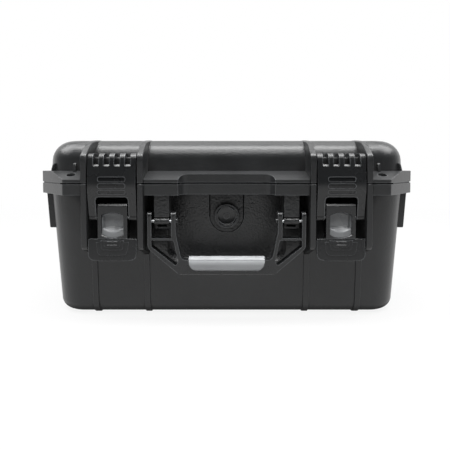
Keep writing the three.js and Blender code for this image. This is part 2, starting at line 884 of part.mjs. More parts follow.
// Foam
function makeFoamInsert() {
  const bottom = ribProud + wall + foamGap + padThickness + seatGap;
  const top = partingHeight - foamDrop;
  const half = shellHalfWidth;
  const block = baseForm(wall + foamGap, partingHeight).intersect(
    box([-half, half], [-shellHalfDepth, shellHalfDepth], [bottom, top]),
  );
  const rows = [];
  for (let row = 0; row < slabRowCount; row += 1) {
    const middle = (row - (slabRowCount - 1) / 2) * slabRowPitch;
    const corner = [slabRowWidth / 2, slabRowLength / 2];
    const outline = roundedShape([
      [middle - corner[0], -corner[1], slabRowRound],
      [middle + corner[0], -corner[1], slabRowRound],
      [middle + corner[0], corner[1], slabRowRound],
      [middle - corner[0], corner[1], slabRowRound],
    ]);
    rows.push(extrudeZ(outline, bottom - overrun, top + overrun));
  }
  const nutRelief = nutRadius + foamGap;
  const valveRelief = box(
    [-nutRelief, nutRelief],
    [-shellHalfDepth, nutFaceY + nutThickness + foamGap],
    [valveZ - nutRelief, top + overrun],
  );
  const bossRelief = bossForm(bossFaceY, nutFaceY + foamGap);
  return without(block, [pocketForm(wall + foamGap), ...rows, valveRelief, bossRelief]);
}

function makeFoamBasePad() {
  const bottom = ribProud + wall + foamGap;
  const half = shellHalfWidth;
  return baseForm(wall + foamGap, partingHeight).intersect(
    box([-half, half], [-shellHalfDepth, shellHalfDepth], [0, bottom + padThickness]),
  );
}

function makeLidFoam() {
  const bottom = lidSurface - wall - foamGap - lidFoamThickness;
  const half = shellHalfWidth;
  return lidForm(wall + foamGap, lidBottom).intersect(
    box([-half, half], [-shellHalfDepth, shellHalfDepth], [bottom, caseHeight]),
  );
}

// Hinge pins
function makeHingePin(side) {
  const half = (knuckleCount * knuckleWidth) / 2 + hingePinHead;
  const reach = frontPlane - hingeY;
  return rodX(hingePinRadius, side * hingeX - half, side * hingeX + half, reach, partingGap / 2);
}

// Handle
function handleSide(side) {
  const flip = (corners) => {
    const placed = corners.map(([x, rise, radius]) => [side * x, rise, radius]);
    return frontShape(side > 0 ? placed : placed.reverse());
  };
  const earTop = handlePinRise + handleEarTop;
  const ribBottom = handleRibTop - handleRibThickness;
  const outline = flip([
    [0, handleBottom],
    [handleBottomHalfWidth, handleBottom, handleWebWidth],
    [handleOuterX, handleKneeRise, handleWebWidth],
    [handleOuterX, earTop],
    [handleOuterLegX, earTop],
    [handleOuterLegX, handleRibTop],
    [handleInnerLegX, handleRibTop],
    [handleInnerLegX, earTop],
    [handleInnerX, earTop],
    [handleInnerX, handleWaistRise, handleWebWidth],
    [handleBarInnerX, handleBarTop, handleWebWidth],
    [0, handleBarTop],
  ]);
  outline.holes.push(
    flip([
      [handleOuterLegX, ribBottom, handleEdgeRound],
      [handleInnerX + handleRibThickness, ribBottom, handleWebWidth / 2],
      [handleElbowX - handleElbowShift, handleElbowRise + handleElbowLift, handleWebWidth / 2],
      [handleElbowX, handleElbowRise, handleWebWidth / 2],
      [handleOuterLegX, handleHoleKnee, handleEdgeRound],
    ]),
  );
  return outline;
}

function makeHandleFrame() {
  const middle = frontPlane - handlePinReach;
  const ys = [middle - handleThickness / 2, middle + handleThickness / 2];
  const frame = joined(bothSides((side) => extrudeY(handleSide(side), ys[0], ys[1])));
  const halfEar = handleThickness / 2;
  const sideOutline = sideShape([
    [handlePinReach - halfEar, handlePinRise + handleEarTop, earRound],
    [handlePinReach + halfEar, handlePinRise + handleEarTop, earRound],
    [handlePinReach + halfEar, handleBottom, handleWebWidth],
    [handlePinReach - halfEar, handleBottom, handleWebWidth],
  ]);
  const slab = extrudeX(sideOutline, -handleOuterX - overrun, handleOuterX + overrun);
  const rounded = frame.intersect(slab);
  const core = gripCore(0);
  const seat = gripBlock(0).subtract(core);
  const bosses = bothSides((side) => {
    const face = handleInnerX - pinBossProud;
    const root = handleInnerX + overrun;
    const [from, to] = side > 0 ? [face, root] : [-root, -face];
    return rodX(pinBossRadius, from, to, handlePinReach, handlePinRise);
  });
  const outer = handleOuterX + overrun;
  const bores = bothSides((side) => {
    const [from, to] = side > 0 ? [handleInnerX, outer] : [-outer, -handleInnerX];
    return rodX(handlePinRadius + seatGap, from, to, handlePinReach, handlePinRise);
  });
  return without(joined([rounded, ...bosses]), [seat, ...bores]);
}

// The bar inside the grip, grown by a margin
function gripCore(margin) {
  const half = gripCoreThickness / 2 + margin;
  const outline = sideShape([
    [handlePinReach - half, handleBarTop + margin, half],
    [handlePinReach + half, handleBarTop + margin, half],
    [handlePinReach + half, handleBottom],
    [handlePinReach - half, handleBottom],
  ]);
  return extrudeX(outline, -gripHalfWidth - overrun, gripHalfWidth + overrun);
}

// The space that the grip takes, drawn in by an inset where it meets the frame
function gripBlock(inset) {
  const half = gripThickness / 2;
  const low = gripBottom + inset;
  const section = sideShape([
    [handlePinReach - half, gripTop, gripCrownRound],
    [handlePinReach + half, gripTop, gripCrownRound],
    [handlePinReach + half, low, handleWebWidth / 2],
    [handlePinReach - half, low, handleWebWidth / 2],
  ]);
  const halfWidth = gripHalfWidth - inset;
  const cut = gripCornerRound * gripCornerShare;
  const front = frontShape([
    [-halfWidth, low + gripCornerRound, gripCornerRound / 2],
    [-halfWidth + cut, low + cut, gripCornerRound / 2],
    [-halfWidth + gripCornerRound, low, gripCornerRound / 2],
    [halfWidth - gripCornerRound, low, gripCornerRound / 2],
    [halfWidth - cut, low + cut, gripCornerRound / 2],
    [halfWidth, low + gripCornerRound, gripCornerRound / 2],
    [halfWidth, gripTop + overrun],
    [-halfWidth, gripTop + overrun],
  ]);
  const middle = frontPlane - handlePinReach;
  const bar = extrudeX(section, -halfWidth, halfWidth);
  return bar.intersect(extrudeY(front, middle - gripThickness, middle + gripThickness));
}

function makeHandleGrip() {
  return gripBlock(seatGap).subtract(gripCore(seatGap));
}

function makeHandlePin(side) {
  const inner = handleInnerX + seatGap;
  const outer = handleOuterX - handleEdgeRound;
  const [from, to] = side > 0 ? [inner, outer] : [-outer, -inner];
  return rodX(handlePinRadius, from, to, handlePinReach, handlePinRise);
}

// Latch pieces, each drawn about the middle of its bay
function makeClaw() {
  const back = keeperBarReach - keeperBarThickness - clawTipGap;
  const crownBottom = keeperBarTop + clawCrownGap;
  const crownTop = crownBottom + clawCrownThickness;
  const chestBack = clawChestReach - clawThickness;
  const outline = sideShape([
    [clawPivotReach + clawEyeRadius, clawPivotRise],
    [clawBellyReach, clawBellyRise - clawBellyFlat, clawThickness],
    [clawBellyReach, clawBellyRise + clawBellyFlat, clawThickness],
    [clawChestReach, clawChestRise, clawThickness],
    [clawChestReach - clawCrownRound / 3, crownTop, clawCrownRound],
    [back - clawTipThickness, crownTop, clawCrownRound],
    [back - clawTipThickness, keeperBarTop - clawTipDrop, leastRound],
    [back, keeperBarTop - clawTipDrop, leastRound],
    [back, crownBottom, leastRound * 2],
    [chestBack - leastRound, crownBottom, leastRound * 2],
    [chestBack, clawChestRise, clawThickness],
    [clawBellyReach - clawThickness, clawBellyRise, clawThickness],
    [clawPivotReach - clawEyeRadius / 2, clawPivotRise + clawEyeRadius / 2],
  ]);
  const blank = joined([
    extrudeX(outline, -clawHalfWidth, clawHalfWidth),
    rodX(clawEyeRadius, -clawHalfWidth, clawHalfWidth, clawPivotReach, clawPivotRise),
  ]);
  const depth = [frontPlane - clawBellyReach - overrun, frontPlane - back + clawTipThickness + overrun];
  const arch = frontShape([
    [-clawLegHalfGap, clawPivotRise - clawEyeRadius - overrun],
    [clawLegHalfGap, clawPivotRise - clawEyeRadius - overrun],
    [clawLegHalfGap, clawArchTop, clawArchRound],
    [-clawLegHalfGap, clawArchTop, clawArchRound],
  ]);
  const cuts = [extrudeY(arch, depth[0], depth[1])];
  for (let gap = 0; gap < toothCount - 1; gap += 1) {
    const middle = (gap - (toothCount - 2) / 2) * toothPitch;
    const half = (toothPitch - toothWidth) / 2;
    const slot = frontShape([
      [middle - half, toothRoot, leastRound * 2],
      [middle + half, toothRoot, leastRound * 2],
      [middle + half, crownTop + overrun],
      [middle - half, crownTop + overrun],
    ]);
    cuts.push(extrudeY(slot, depth[0], depth[1]));
  }
  for (const rise of clawBarRises) {
    const half = clawBarHeight / 2;
    const bar = frontShape([
      [-clawBarHalfWidth, rise - half, half],
      [clawBarHalfWidth, rise - half, half],
      [clawBarHalfWidth, rise + half, half],
      [-clawBarHalfWidth, rise + half, half],
    ]);
    const fall = (Math.abs(rise - clawBellyRise) * (clawBellyReach - clawChestReach)) / clawChestRise;
    const face = clawBellyReach - fall;
    cuts.push(extrudeY(bar, depth[0], frontPlane - face + clawBarDepth));
  }
  const pinHole = clawPinRadius + runningGap;
  cuts.push(rodX(pinHole, -clawHalfWidth - overrun, clawHalfWidth + overrun, clawPivotReach, clawPivotRise));
  return without(blank, cuts);
}

function windowShape(margin) {
  const half = windowHalfWidth + margin;
  const top = partingHeight + windowTop + margin;
  const bottom = partingHeight + windowBottom - margin;
  const shape = new THREE.Shape();
  shape.moveTo(-half, bottom + windowArch);
  shape.quadraticCurveTo(0, bottom - windowArch, half, bottom + windowArch);
  shape.lineTo(half, top - windowArch);
  shape.quadraticCurveTo(0, top + windowArch, -half, top - windowArch);
  shape.closePath();
  return shape;
}

function makeLever() {
  const back = leverFrontReach - leverPlate;
  const inner = tongueHalfWidth - leverCheek;
  const plate = sideShape([
    [leverFrontReach, leverTopRise - leverTopBevel],
    [leverFrontReach - leverTopBevel, leverTopRise],
    [back - leverPlate, leverTopRise],
    [back - leverPlate, triggerTop + seatGap],
    [back, triggerTop + seatGap],
    [back, skirtTop],
    [leverFrontReach, skirtTop],
  ]);
  const skirt = sideShape([
    [leverFrontReach, skirtTop],
    [leverFrontReach - skirtThickness, skirtTop],
    [leverFrontReach + skirtFlare - skirtThickness, skirtBottom],
    [leverFrontReach + skirtFlare, skirtBottom],
  ]);
  const skirtFront = frontShape([
    [-skirtHalfWidth, skirtTop, leastRound * 2],
    [-skirtHalfWidth, skirtCorner, skirtCornerRound],
    [-inner, skirtBottom, skirtCornerRound],
    [inner, skirtBottom, skirtCornerRound],
    [skirtHalfWidth, skirtCorner, skirtCornerRound],
    [skirtHalfWidth, skirtTop, leastRound * 2],
  ]);
  const cheek = sideShape([
    [back + leastRound, leverTopRise],
    [leverPivotReach, leverPivotRise + leverEyeRadius, leverEyeRadius],
    [leverPivotReach - leverEyeRadius, leverPivotRise - leverEyeRadius, leverEyeRadius],
    [leverCheekReach, skirtTop],
    [leverCheekReach, springShelfTop - springShelfThickness, leastRound],
    [back + leastRound, springShelfTop - springShelfThickness],
  ]);
  const depth = [frontPlane - leverFrontReach - skirtFlare - overrun, frontPlane - leverCheekReach];
  const skirtBlank = extrudeX(skirt, -skirtHalfWidth, skirtHalfWidth);
  const skirtSolid = skirtBlank.intersect(extrudeY(skirtFront, depth[0], depth[1]));
  const shelfZs = [springShelfTop - springShelfThickness, springShelfTop].map((rise) => partingHeight + rise);
  const shelf = box([-inner - overrun, inner + overrun], [frontPlane - back - overrun, depth[1]], shelfZs);
  const whole = joined([
    extrudeX(plate, -tongueHalfWidth, tongueHalfWidth),
    skirtSolid,
    extrudeX(cheek, -tongueHalfWidth, -inner),
    extrudeX(cheek, inner, tongueHalfWidth),
    rodX(leverEyeRadius, -tongueHalfWidth, tongueHalfWidth, leverPivotReach, leverPivotRise),
    shelf,
  ]);
  const opening = extrudeY(windowShape(0), depth[0], frontPlane - back + overrun);
  const triggerRoom = box(
    [-inner, inner],
    [frontPlane - back, frontPlane - triggerBack + seatGap],
    [shelfZs[1], partingHeight + triggerTop + seatGap],
  );
  const eye = leverPinRadius + runningGap;
  const half = tongueHalfWidth + overrun;
  const pinHole = rodX(eye, -half, half, leverPivotReach, leverPivotRise);
  const stub = rodX(clawPinRadius + seatGap, -half, half, clawPivotReach, clawPivotRise);
  return without(whole, [opening, triggerRoom, pinHole, stub]);
}

function makeTrigger() {
  const face = leverFrontReach - leverPlate - seatGap;
  const half = tongueHalfWidth - leverCheek - seatGap;
  const hookFront = catchHookBack + catchHookThickness;
  const body = sideShape([
    [face, triggerTop],
    [triggerBack, triggerTop],
    [triggerBack, triggerBottom],
    [face, triggerBottom],
  ]);
  const arm = sideShape([
    [triggerBack + overrun, catchArmTop],
    [hookFront, catchArmTop],
    [hookFront, catchHookRise],
    [catchHookBack, catchHookRise - leastRound],
    [catchHookBack, catchArmTop - catchArmThickness],
    [triggerBack + overrun, catchArmTop - catchArmThickness],
  ]);
  const scoop = sideShape([
    [face + overrun, scoopTop],
    [scoopReach, scoopTop, overrun],
    [scoopReach, ledgeTop],
    [face, ledgeFoot],
    [face + overrun, ledgeFoot],
  ]);
  const recess = extrudeX(scoop, -scoopHalfWidth, scoopHalfWidth);
  const solid = joined([extrudeX(body, -half, half), extrudeX(arm, -catchHalfWidth, catchHalfWidth)]);
  const pinRoom = clawPinRadius + runningGap + seatGap;
  const pinZ = partingHeight + clawPivotRise;
  const pinSlots = bothSides((side) => {
    const xs = side > 0 ? [half - pinRoom / 4, half + overrun] : [-half - overrun, -half + pinRoom / 4];
    const ys = [frontPlane - clawPivotReach - pinRoom, frontPlane - triggerBack + overrun];
    return box(xs, ys, [pinZ - triggerTravel - pinRoom, pinZ + pinRoom + triggerTravel]);
  });
  return without(solid, [recess, ...pinSlots]);
}

// A compression spring whose ends lie flat, as one unbroken wire
function makeTriggerSpring() {
  const bottom = partingHeight + springShelfTop + seatGap + springWire;
  const top = partingHeight + triggerBottom - seatGap - springWire;
  const middle = triggerBack + springRadius;
  const steps = springTurns * springStepsPerTurn;
  const points = [];
  for (let step = 0; step <= steps; step += 1) {
    const angle = (2 * Math.PI * step) / springStepsPerTurn;
    const z = bottom + ((top - bottom) * step) / steps;
    points.push(new THREE.Vector3(springRadius * Math.cos(angle), springRadius * Math.sin(angle), z));
  }
  const wire = new THREE.Shape();
  for (let index = 0; index <= springWireSides; index += 1) {
    const angle = (2 * Math.PI * index) / springWireSides;
    const place = [springWire * Math.cos(angle), springWire * Math.sin(angle)];
    if (index === 0) wire.moveTo(...place);
    else wire.lineTo(...place);
  }
  const path = new THREE.CatmullRomCurve3(points);
  const geometry = new THREE.ExtrudeGeometry(wire, { steps, extrudePath: path });
  return toSolid(geometry.translate(0, frontPlane - middle, 0));
}

function makeLeverPin() {
  const half = bayHalfWidth + bumperWidth;
  return rodX(leverPinRadius, -half, half, leverPivotReach, leverPivotRise);
}

function makeClawPin(side) {
  const inner = tongueHalfWidth - leverCheek;
  const outer = clawHalfWidth - leastRound;
  const [from, to] = side > 0 ? [inner, outer] : [-outer, -inner];
  return rodX(clawPinRadius, from, to, clawPivotReach, clawPivotRise);
}

// Valve
function makeValveBody() {
  const front = bossFaceY - seatGap - valveFlange;
  const back = nutFaceY + nutThickness;
  const flange = rodY(valveRadius, front, bossFaceY - seatGap, 0, valveZ, valveSides);
  const stem = rodY(valveStemRadius, front, back, 0, valveZ, valveSides);
  const bore = rodY(valveBoreRadius, front - overrun, back + overrun, 0, valveZ, valveSides);
  const dishDepth = valveCapThickness + valveCapInset;
  const dish = rodY(valveDishRadius + seatGap, front - overrun, front + dishDepth, 0, valveZ, valveSides);
  return without(flange.add(stem), [bore, dish]);
}

function makeValveSeal() {
  const ring = valveStemRadius + seatGap + valveSealRadius;
  const geometry = new THREE.TorusGeometry(ring, valveSealRadius, valveSealSides, valveSides);
  geometry.rotateX(Math.PI / 2);
  return toSolid(geometry.translate(0, bossFaceY + valveSealRadius, valveZ));
}

function makeValveCap() {
  const front = bossFaceY - seatGap - valveFlange + valveCapInset;
  const back = front + valveCapThickness - seatGap;
  const bowl = new THREE.SphereGeometry(1, valveSides, 2 * valveBowlSteps);
  bowl.scale(valveBowlRadius, valveBowlDepth, valveBowlRadius).translate(0, front, valveZ);
  const disc = rodY(valveDishRadius, front, back, 0, valveZ, valveSides).subtract(toSolid(bowl));
  const vents = [];
  for (let index = 0; index < ventCount; index += 1) {
    const middle = ventTurn + (2 * Math.PI * index) / ventCount;
    const half = Math.PI * ventShare;
    const shape = new THREE.Shape();
    shape.absarc(0, valveZ, ventOuterRadius, middle - half, middle + half, false);
    shape.absarc(0, valveZ, ventInnerRadius, middle + half, middle - half, true);
    shape.closePath();
    vents.push(extrudeY(shape, front - overrun, back + overrun));
  }
  const dimple = rodY(dimpleRadius, front, front + valveBowlDepth + dimpleDepth, 0, valveZ);
  return without(disc, [...vents, dimple]);
}

function makeValveNut() {
  const body = rodY(nutRadius, nutFaceY + seatGap, nutFaceY + nutThickness, 0, valveZ, nutSides);
  const back = nutFaceY + nutThickness;
  const bore = rodY(valveStemRadius + seatGap, nutFaceY - overrun, back + overrun, 0, valveZ, valveSides);
  return body.subtract(bore);
}

// The scene graph
const gradedCardCase = new THREE.Group();
gradedCardCase.position.y = centreShift;

function addPiece(parent, name, solid, material) {
  const mesh = new THREE.Mesh(toGeometry(solid), material);
  mesh.name = name;
  parent.add(mesh);
}

const base = new THREE.Group();
addPiece(base, "base_shell", makeBaseShell(), shellPlastic);
addPiece(base, "foam_insert", makeFoamInsert(), foamBlack);
addPiece(base, "foam_base_pad", makeFoamBasePad(), foamBlack);
addPiece(base, "valve_body", makeValveBody(), shellPlastic);
addPiece(base, "valve_cap", makeValveCap(), latchPlastic);
addPiece(base, "valve_seal", makeValveSeal(), sealRubber);
addPiece(base, "valve_nut", makeValveNut(), shellPlastic);
addPiece(base, "hinge_pin_left", makeHingePin(-1), steel);
addPiece(base, "hinge_pin_right", makeHingePin(1), steel);

const lid = new THREE.Group();
addPiece(lid, "lid_shell", makeLidShell(), shellPlastic);
addPiece(lid, "gasket", makeGasket(), sealRubber);
addPiece(lid, "lid_foam", makeLidFoam(), foamBlack);

const handle = new THREE.Group();
addPiece(handle, "handle_frame", makeHandleFrame(), latchPlastic);
addPiece(handle, "handle_grip", makeHandleGrip(), greyRubber);
addPiece(handle, "handle_pin_left", makeHandlePin(-1), steel);
addPiece(handle, "handle_pin_right", makeHandlePin(1), steel);

gradedCardCase.add(base, lid, handle);
for (const [place, side] of [["left", -1], ["right", 1]]) {
  const latch = new THREE.Group();
  latch.position.x = side * latchX;
  addPiece(latch, "latch_lever_" + place, makeLever(), latchPlastic);
  addPiece(latch, "latch_claw_" + place, makeClaw(), latchPlastic);
  addPiece(latch, "latch_trigger_" + place, makeTrigger(), greyPlastic);
  addPiece(latch, "trigger_spring_" + place, makeTriggerSpring(), steel);
  addPiece(latch, "lever_pin_" + place, makeLeverPin(), steel);
  addPiece(latch, "claw_pin_" + place + "_outer", makeClawPin(side), steel);
  addPiece(latch, "claw_pin_" + place + "_inner", makeClawPin(-side), steel);
  gradedCardCase.add(latch);
}

export default gradedCardCase;
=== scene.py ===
"""A hard storage case for graded card slabs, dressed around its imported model.

Moulded shells, claw latches, carrying handle, pressure valve, foam, seal and hinges, in a plain pale studio.
"""

import json
import math

import bmesh
import bpy
import numpy as np
from mathutils import Matrix, Vector


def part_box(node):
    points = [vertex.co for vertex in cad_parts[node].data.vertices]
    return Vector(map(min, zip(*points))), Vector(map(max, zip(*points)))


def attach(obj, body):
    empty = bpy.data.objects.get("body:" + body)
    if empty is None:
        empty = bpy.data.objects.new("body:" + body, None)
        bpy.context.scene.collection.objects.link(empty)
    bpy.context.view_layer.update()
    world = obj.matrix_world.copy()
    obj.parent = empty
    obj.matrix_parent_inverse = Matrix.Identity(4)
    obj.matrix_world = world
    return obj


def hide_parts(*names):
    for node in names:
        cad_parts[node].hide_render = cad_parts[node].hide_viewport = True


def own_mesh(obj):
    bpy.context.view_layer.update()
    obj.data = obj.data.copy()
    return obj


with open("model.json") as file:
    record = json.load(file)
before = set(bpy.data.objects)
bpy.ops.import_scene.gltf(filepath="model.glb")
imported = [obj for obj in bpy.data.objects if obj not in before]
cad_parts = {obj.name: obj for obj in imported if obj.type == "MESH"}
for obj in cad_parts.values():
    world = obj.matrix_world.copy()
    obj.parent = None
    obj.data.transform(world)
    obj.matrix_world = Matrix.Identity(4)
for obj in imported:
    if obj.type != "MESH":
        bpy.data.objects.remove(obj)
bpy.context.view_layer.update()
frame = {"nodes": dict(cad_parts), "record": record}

bl_info = {
    "name": "Graded card case",
    "version": (1, 0, 0),
    "blender": (4, 5, 0),
    "location": "View3D > Sidebar > Card case",
    "description": "Builds a hard storage case for graded card slabs and its studio",
    "category": "Object",
}

# Sizes are in millimetres. Reach is measured forwards from the flange's front plane,
# and rise upwards from the parting plane.
MM = 0.001
SIDES = (-1, 1)
FRONT = -164.75
SHIFT = 4.25
PARTING = 143.0
CASE_TOP = 189.0

# Shells
HALF_WIDTH, HALF_DEPTH, CORNER, WALL = 197.0, 145.0, 40.0, 3.6
BASE_SLOPE, LID_SLOPE = math.tan(math.radians(4)), math.tan(math.radians(3))
BASE_ROUND, LID_ROUND = 12.0, 21.0
RIB_PROUD, LID_RIB_PROUD = 1.2, 0.4
SEAM = 0.8
LID_SURFACE = CASE_TOP - LID_RIB_PROUD

# Flanges
FLANGE_HALF, FLANGE_FRONT, FLANGE_REAR = 203.0, 24.0, 7.5
BASE_FLANGE, LID_FLANGE, RAMP_FOOT = 11.2, 12.8, 4.4
TAB_HALF, CHAMFER_BACK = 162.6, 46.0
RECESS_DEPTH, RECESS_HALF, RECESS_FLAT = 15.0, 48.1, 37.7
HOLE_RADIUS, HOLE_X, HOLE_BACK = 4.45, 158.8, 12.8
FLANGE_EDGE, LIP = 0.4, 0.3
# The middle of the front wall at the parting plane, as a reach
WALL_REACH = -(FLANGE_FRONT + WALL / 2)
# The tongue on the base's rim and the groove for the gasket, as distances outside the cavity
RIM_TONGUE, RIM_RISE, GASKET_GROOVE, GASKET_RISE = (2.8, 5.8), 2.5, (1.8, 6.8), 6
SIDE_RIB_FOOT, SIDE_RIB_PLACE, SIDE_RIB_WIDTH = -51.5, 55, 7
LAND_INSET, LAND_INSIDE, LAND_CLEARANCE, LAND_START, LAND_END = 1.2, 0.4, 0.1, 168.0, 100.0

# Latch bays and the ribs beside them
LATCH_X, BAY_HALF, RIB_WIDTH, RIB_REACH = 113.4, 24.8, 6.2, 3.0
RIB_BOTTOM, RIB_TOE, RIB_SHOULDER, RIB_BROW = -64.6, -77.0, 24.0, 30.0
CREST_REACH, CREST_RISE = -17.6, 43.5
BAY_FLANGE_REACH = -7.5
BAR_REACH, BAR_THICK, BAR_TOP = -5.4, 4.0, 26.5

# Latch
LEVER_PIVOT, CLAW_PIVOT, CLAW_EYE = (-11.3, -28.0), (-3.8, -33.2), 3.2
CLAW_HALF, TONGUE_HALF = 24.0, 14.7
BELLY_REACH, BELLY_RISE, CHEST_REACH, CHEST_RISE = 3.5, -2.0, 1.6, 18.0
CLAW_BARS = ((4.75, 4.4), (-1.9, 4.4), (-7.8, 3.4))
TONGUE_TOP, WINDOW_TOP, WINDOW_BOTTOM = -19.5, -28.3, -53.4
# How far before the front plane the tools that shape a latch start
AHEAD = 6
SKIRT_TOP, SKIRT_CORNER, SKIRT_BOTTOM, SKIRT_HALF, SKIRT_LEAN = -54.3, -74.8, -76.4, 24, 0.0905
# The steps of the skirt: how far forwards, half width, flare, drop of the top, foot, corner radius, edge
SKIRT_STEPS = (
    (0.5, 16.3, 1.6, 3.2, -70.7, 5, 0.3),
    (0.95, 11.6, 1.0, 1.4, -65.6, 3.5, 0.3),
    (1.35, 8.4, 0.6, 2.2, -62.6, 2.5, 0.25),
)
ARCH_HALF, ARCH_TOP, CLAW_BAR_HALF, TOOTH_GAP_PITCH, TOOTH_GAP_HALF = 15.95, -12.8, 13.4, 10.5, 2.8
TRIGGER_FRONT, TRIGGER_HALF, HOOK_REACH, HOOK_THICK = -1.3, 12.2, -19.4, 1.8
CATCH_TOP, CATCH_BOTTOM, CATCH_THICK, CATCH_GAP, CATCH_HALF = -46.7, -55.7, 1.6, 0.3, 8

# Handle, pocket and valve
HANDLE_PIN = (-5.5, -37.6)
HANDLE_THICK, HANDLE_BOTTOM, EAR_TOP, BAR_RISE = 11.0, -91.3, -28.0, -76.0
GRIP_HALF, GRIP_TOP, GRIP_BOTTOM, GRIP_THICK = 38.2, -72.7, -87.2, 13.6
# The two ears of a side along X, from the middle outwards, and the level between them
EARS, EAR_FOOT = (51, 55.4, 75.1, 78.9), -54.1
POCKET_HALF, POCKET_TOP, POCKET_BOTTOM, POCKET_DEPTH, ZONE_HALF = 62.0, -6.0, -83.0, 5.0, 66
VALVE_RISE, VALVE_RADIUS, BOSS_RADIUS, BOSS_PROUD = -34.7, 13.1, 17.5, 1.2
GROOVE_WIDTH, GROOVE_DEPTH = 1.2, 2.2
VALVE_GAP, VALVE_THICK, NUT_THICK = 0.3, 4.6, 4
LUG_INNER, LUG_OUTER, LUG_MIDDLE, LUG_FOOT = 57.4, 72.8, 65.1, -45.4

# Hinges and foam
HINGE_X, HINGE_Y, HINGE_Z, BARREL = 105.0, 162.75, PARTING + 0.4, 5.5
LEAF_HALF, KNUCKLE_PITCH, KNUCKLE_LENGTH, KNUCKLE_GAP = 35, 14, 13.5, 0.25
HINGE_BORE, LEVER_BORE, HANDLE_BORE, CLAW_BORE, VALVE_BORE = 2.5, 2.3, 1.9, 1.6, 8.3
ROW_PITCH, ROW_WIDTH, ROW_LENGTH, FOAM_GAP = 108.0, 87.0, 238.0, 0.6
PAD_THICK, INSERT_LIFT, LID_FOAM_THICK = 8, 8.3, 25
# Seals and springs
GASKET_BAND, WIRE_RADIUS = 4.4, 0.45

CORNER_STEPS, ROUND_STEPS, ARC_STEPS, RIM_STEPS = 14, 8, 6, 2
SMOOTH_ANGLE = math.radians(32)
# How far the paled edges (wear and painted highlight) and the painted shade of a recess look around, in metres
EDGE_REACH, RECESS_REACH = 0.0011, 0.03


# Outlines


def rounded(corners, soft=0.4, steps=ARC_STEPS):
    """A closed anticlockwise outline through corners (u, v, radius), each one rounded."""
    points = []
    for index, corner in enumerate(corners):
        here = np.array(corner[:2], float)
        radius = corner[2] if len(corner) > 2 else soft
        back = np.array(corners[index - 1][:2], float) - here
        ahead = np.array(corners[(index + 1) % len(corners)][:2], float) - here
        back_length, ahead_length = np.linalg.norm(back), np.linalg.norm(ahead)
        cut = min(radius, 0.499 * back_length, 0.499 * ahead_length)
        if cut < 0.02:
            points.append(here)
            continue
        entry, leave = here + back / back_length * cut, here + ahead / ahead_length * cut
        for share in np.linspace(0, 1, steps + 1):
            points.append((1 - share) ** 2 * entry + 2 * share * (1 - share) * here + share**2 * leave)
    outline = np.array(points)
    if signed_area(outline) < 0:
        outline = outline[::-1]
    return outline


def signed_area(outline):
    after = np.roll(outline, -1, axis=0)
    return float(np.sum(outline[:, 0] * after[:, 1] - after[:, 0] * outline[:, 1])) / 2


def side(corners, soft=0.4, steps=ARC_STEPS):
    """An outline in Y and Z from corners given as reach, rise and radius."""
    return rounded([(FRONT - c[0], PARTING + c[1], *c[2:]) for c in corners], soft, steps)


def face(corners, soft=0.4, steps=ARC_STEPS):
    """An outline in X and Z from corners given as X, rise and radius."""
    return rounded([(c[0], PARTING + c[1], *c[2:]) for c in corners], soft, steps)


def about(middle, half):
    """The two ends of a length about its middle."""
    return middle - half, middle + half


def mirrored(corners, sign):
    """Corners of a front view: as given on the right, mirrored on the left."""
    return [(sign * corner[0], *corner[1:]) for corner in corners]


def arc(radius, angles, centre=(0.0, 0.0)):
    """Points at angles round a centre."""
    return [(centre[0] + radius * math.cos(angle), centre[1] + radius * math.sin(angle)) for angle in angles]


def circle(radius, centre=(0, 0), sides=48):
    angles = np.linspace(0, 2 * math.pi, sides, endpoint=False)
    return np.stack([centre[0] + radius * np.cos(angles), centre[1] + radius * np.sin(angles)], axis=1)


def drawn_in(outline, depth):
    """The outline moved inwards by a depth, with mitred corners."""
    before, after = np.roll(outline, 1, axis=0), np.roll(outline, -1, axis=0)
    first, second = outline - before, after - outline
    first /= np.linalg.norm(first, axis=1, keepdims=True)
    second /= np.linalg.norm(second, axis=1, keepdims=True)
    normals = [np.stack([-edge[:, 1], edge[:, 0]], axis=1) for edge in (first, second)]
    share = 1 + np.sum(normals[0] * normals[1], axis=1, keepdims=True)
    return outline + depth * (normals[0] + normals[1]) / np.maximum(share, 0.5)


def plan(half_width, half_depth, radius):
    """A rounded rectangle seen from above, with evenly stepped corners."""
    points = []
    for quarter, (sign_x, sign_y) in enumerate([(1, 1), (-1, 1), (-1, -1), (1, -1)]):
        angles = [math.pi / 2 * (quarter + step / CORNER_STEPS) for step in range(CORNER_STEPS + 1)]
        points += arc(radius, angles, (sign_x * (half_width - radius), sign_y * (half_depth - radius)))
    return np.array(points)


# Solids


def loft(rings, along="Z"):
    """A closed mesh through rings of (outline, place along the axis), lowest first."""
    count = len(rings[0][0])
    places = []
    for outline, level in rings:
        for u, v in outline:
            places.append({"X": (level, u, v), "Y": (u, level, v), "Z": (u, v, level)}[along])
    faces = [tuple(range(count))[::-1]]
    for ring in range(len(rings) - 1):
        for index in range(count):
            near, after = ring * count + index, ring * count + (index + 1) % count
            faces.append((near, after, after + count, near + count))
    top = (len(rings) - 1) * count
    faces.append(tuple(range(top, top + count)))
    if along == "Y":
        faces = [loop[::-1] for loop in faces]
    mesh = bpy.data.meshes.new("solid")
    mesh.from_pydata(places, [], faces)
    return mesh


def prism(outline, low, high, along, rim=0.4):
    """An outline drawn out along an axis, with rounded rims."""
    if rim <= 0:
        return loft([(outline, low), (outline, high)], along)
    turns = [math.pi / 2 * step / RIM_STEPS for step in range(RIM_STEPS + 1)]
    ends = [(drawn_in(outline, rim * (1 - math.sin(turn))), rim * (1 - math.cos(turn))) for turn in turns]
    rings = [(ring, low + depth) for ring, depth in ends]
    return loft(rings + [(ring, high - depth) for ring, depth in ends[::-1]], along)


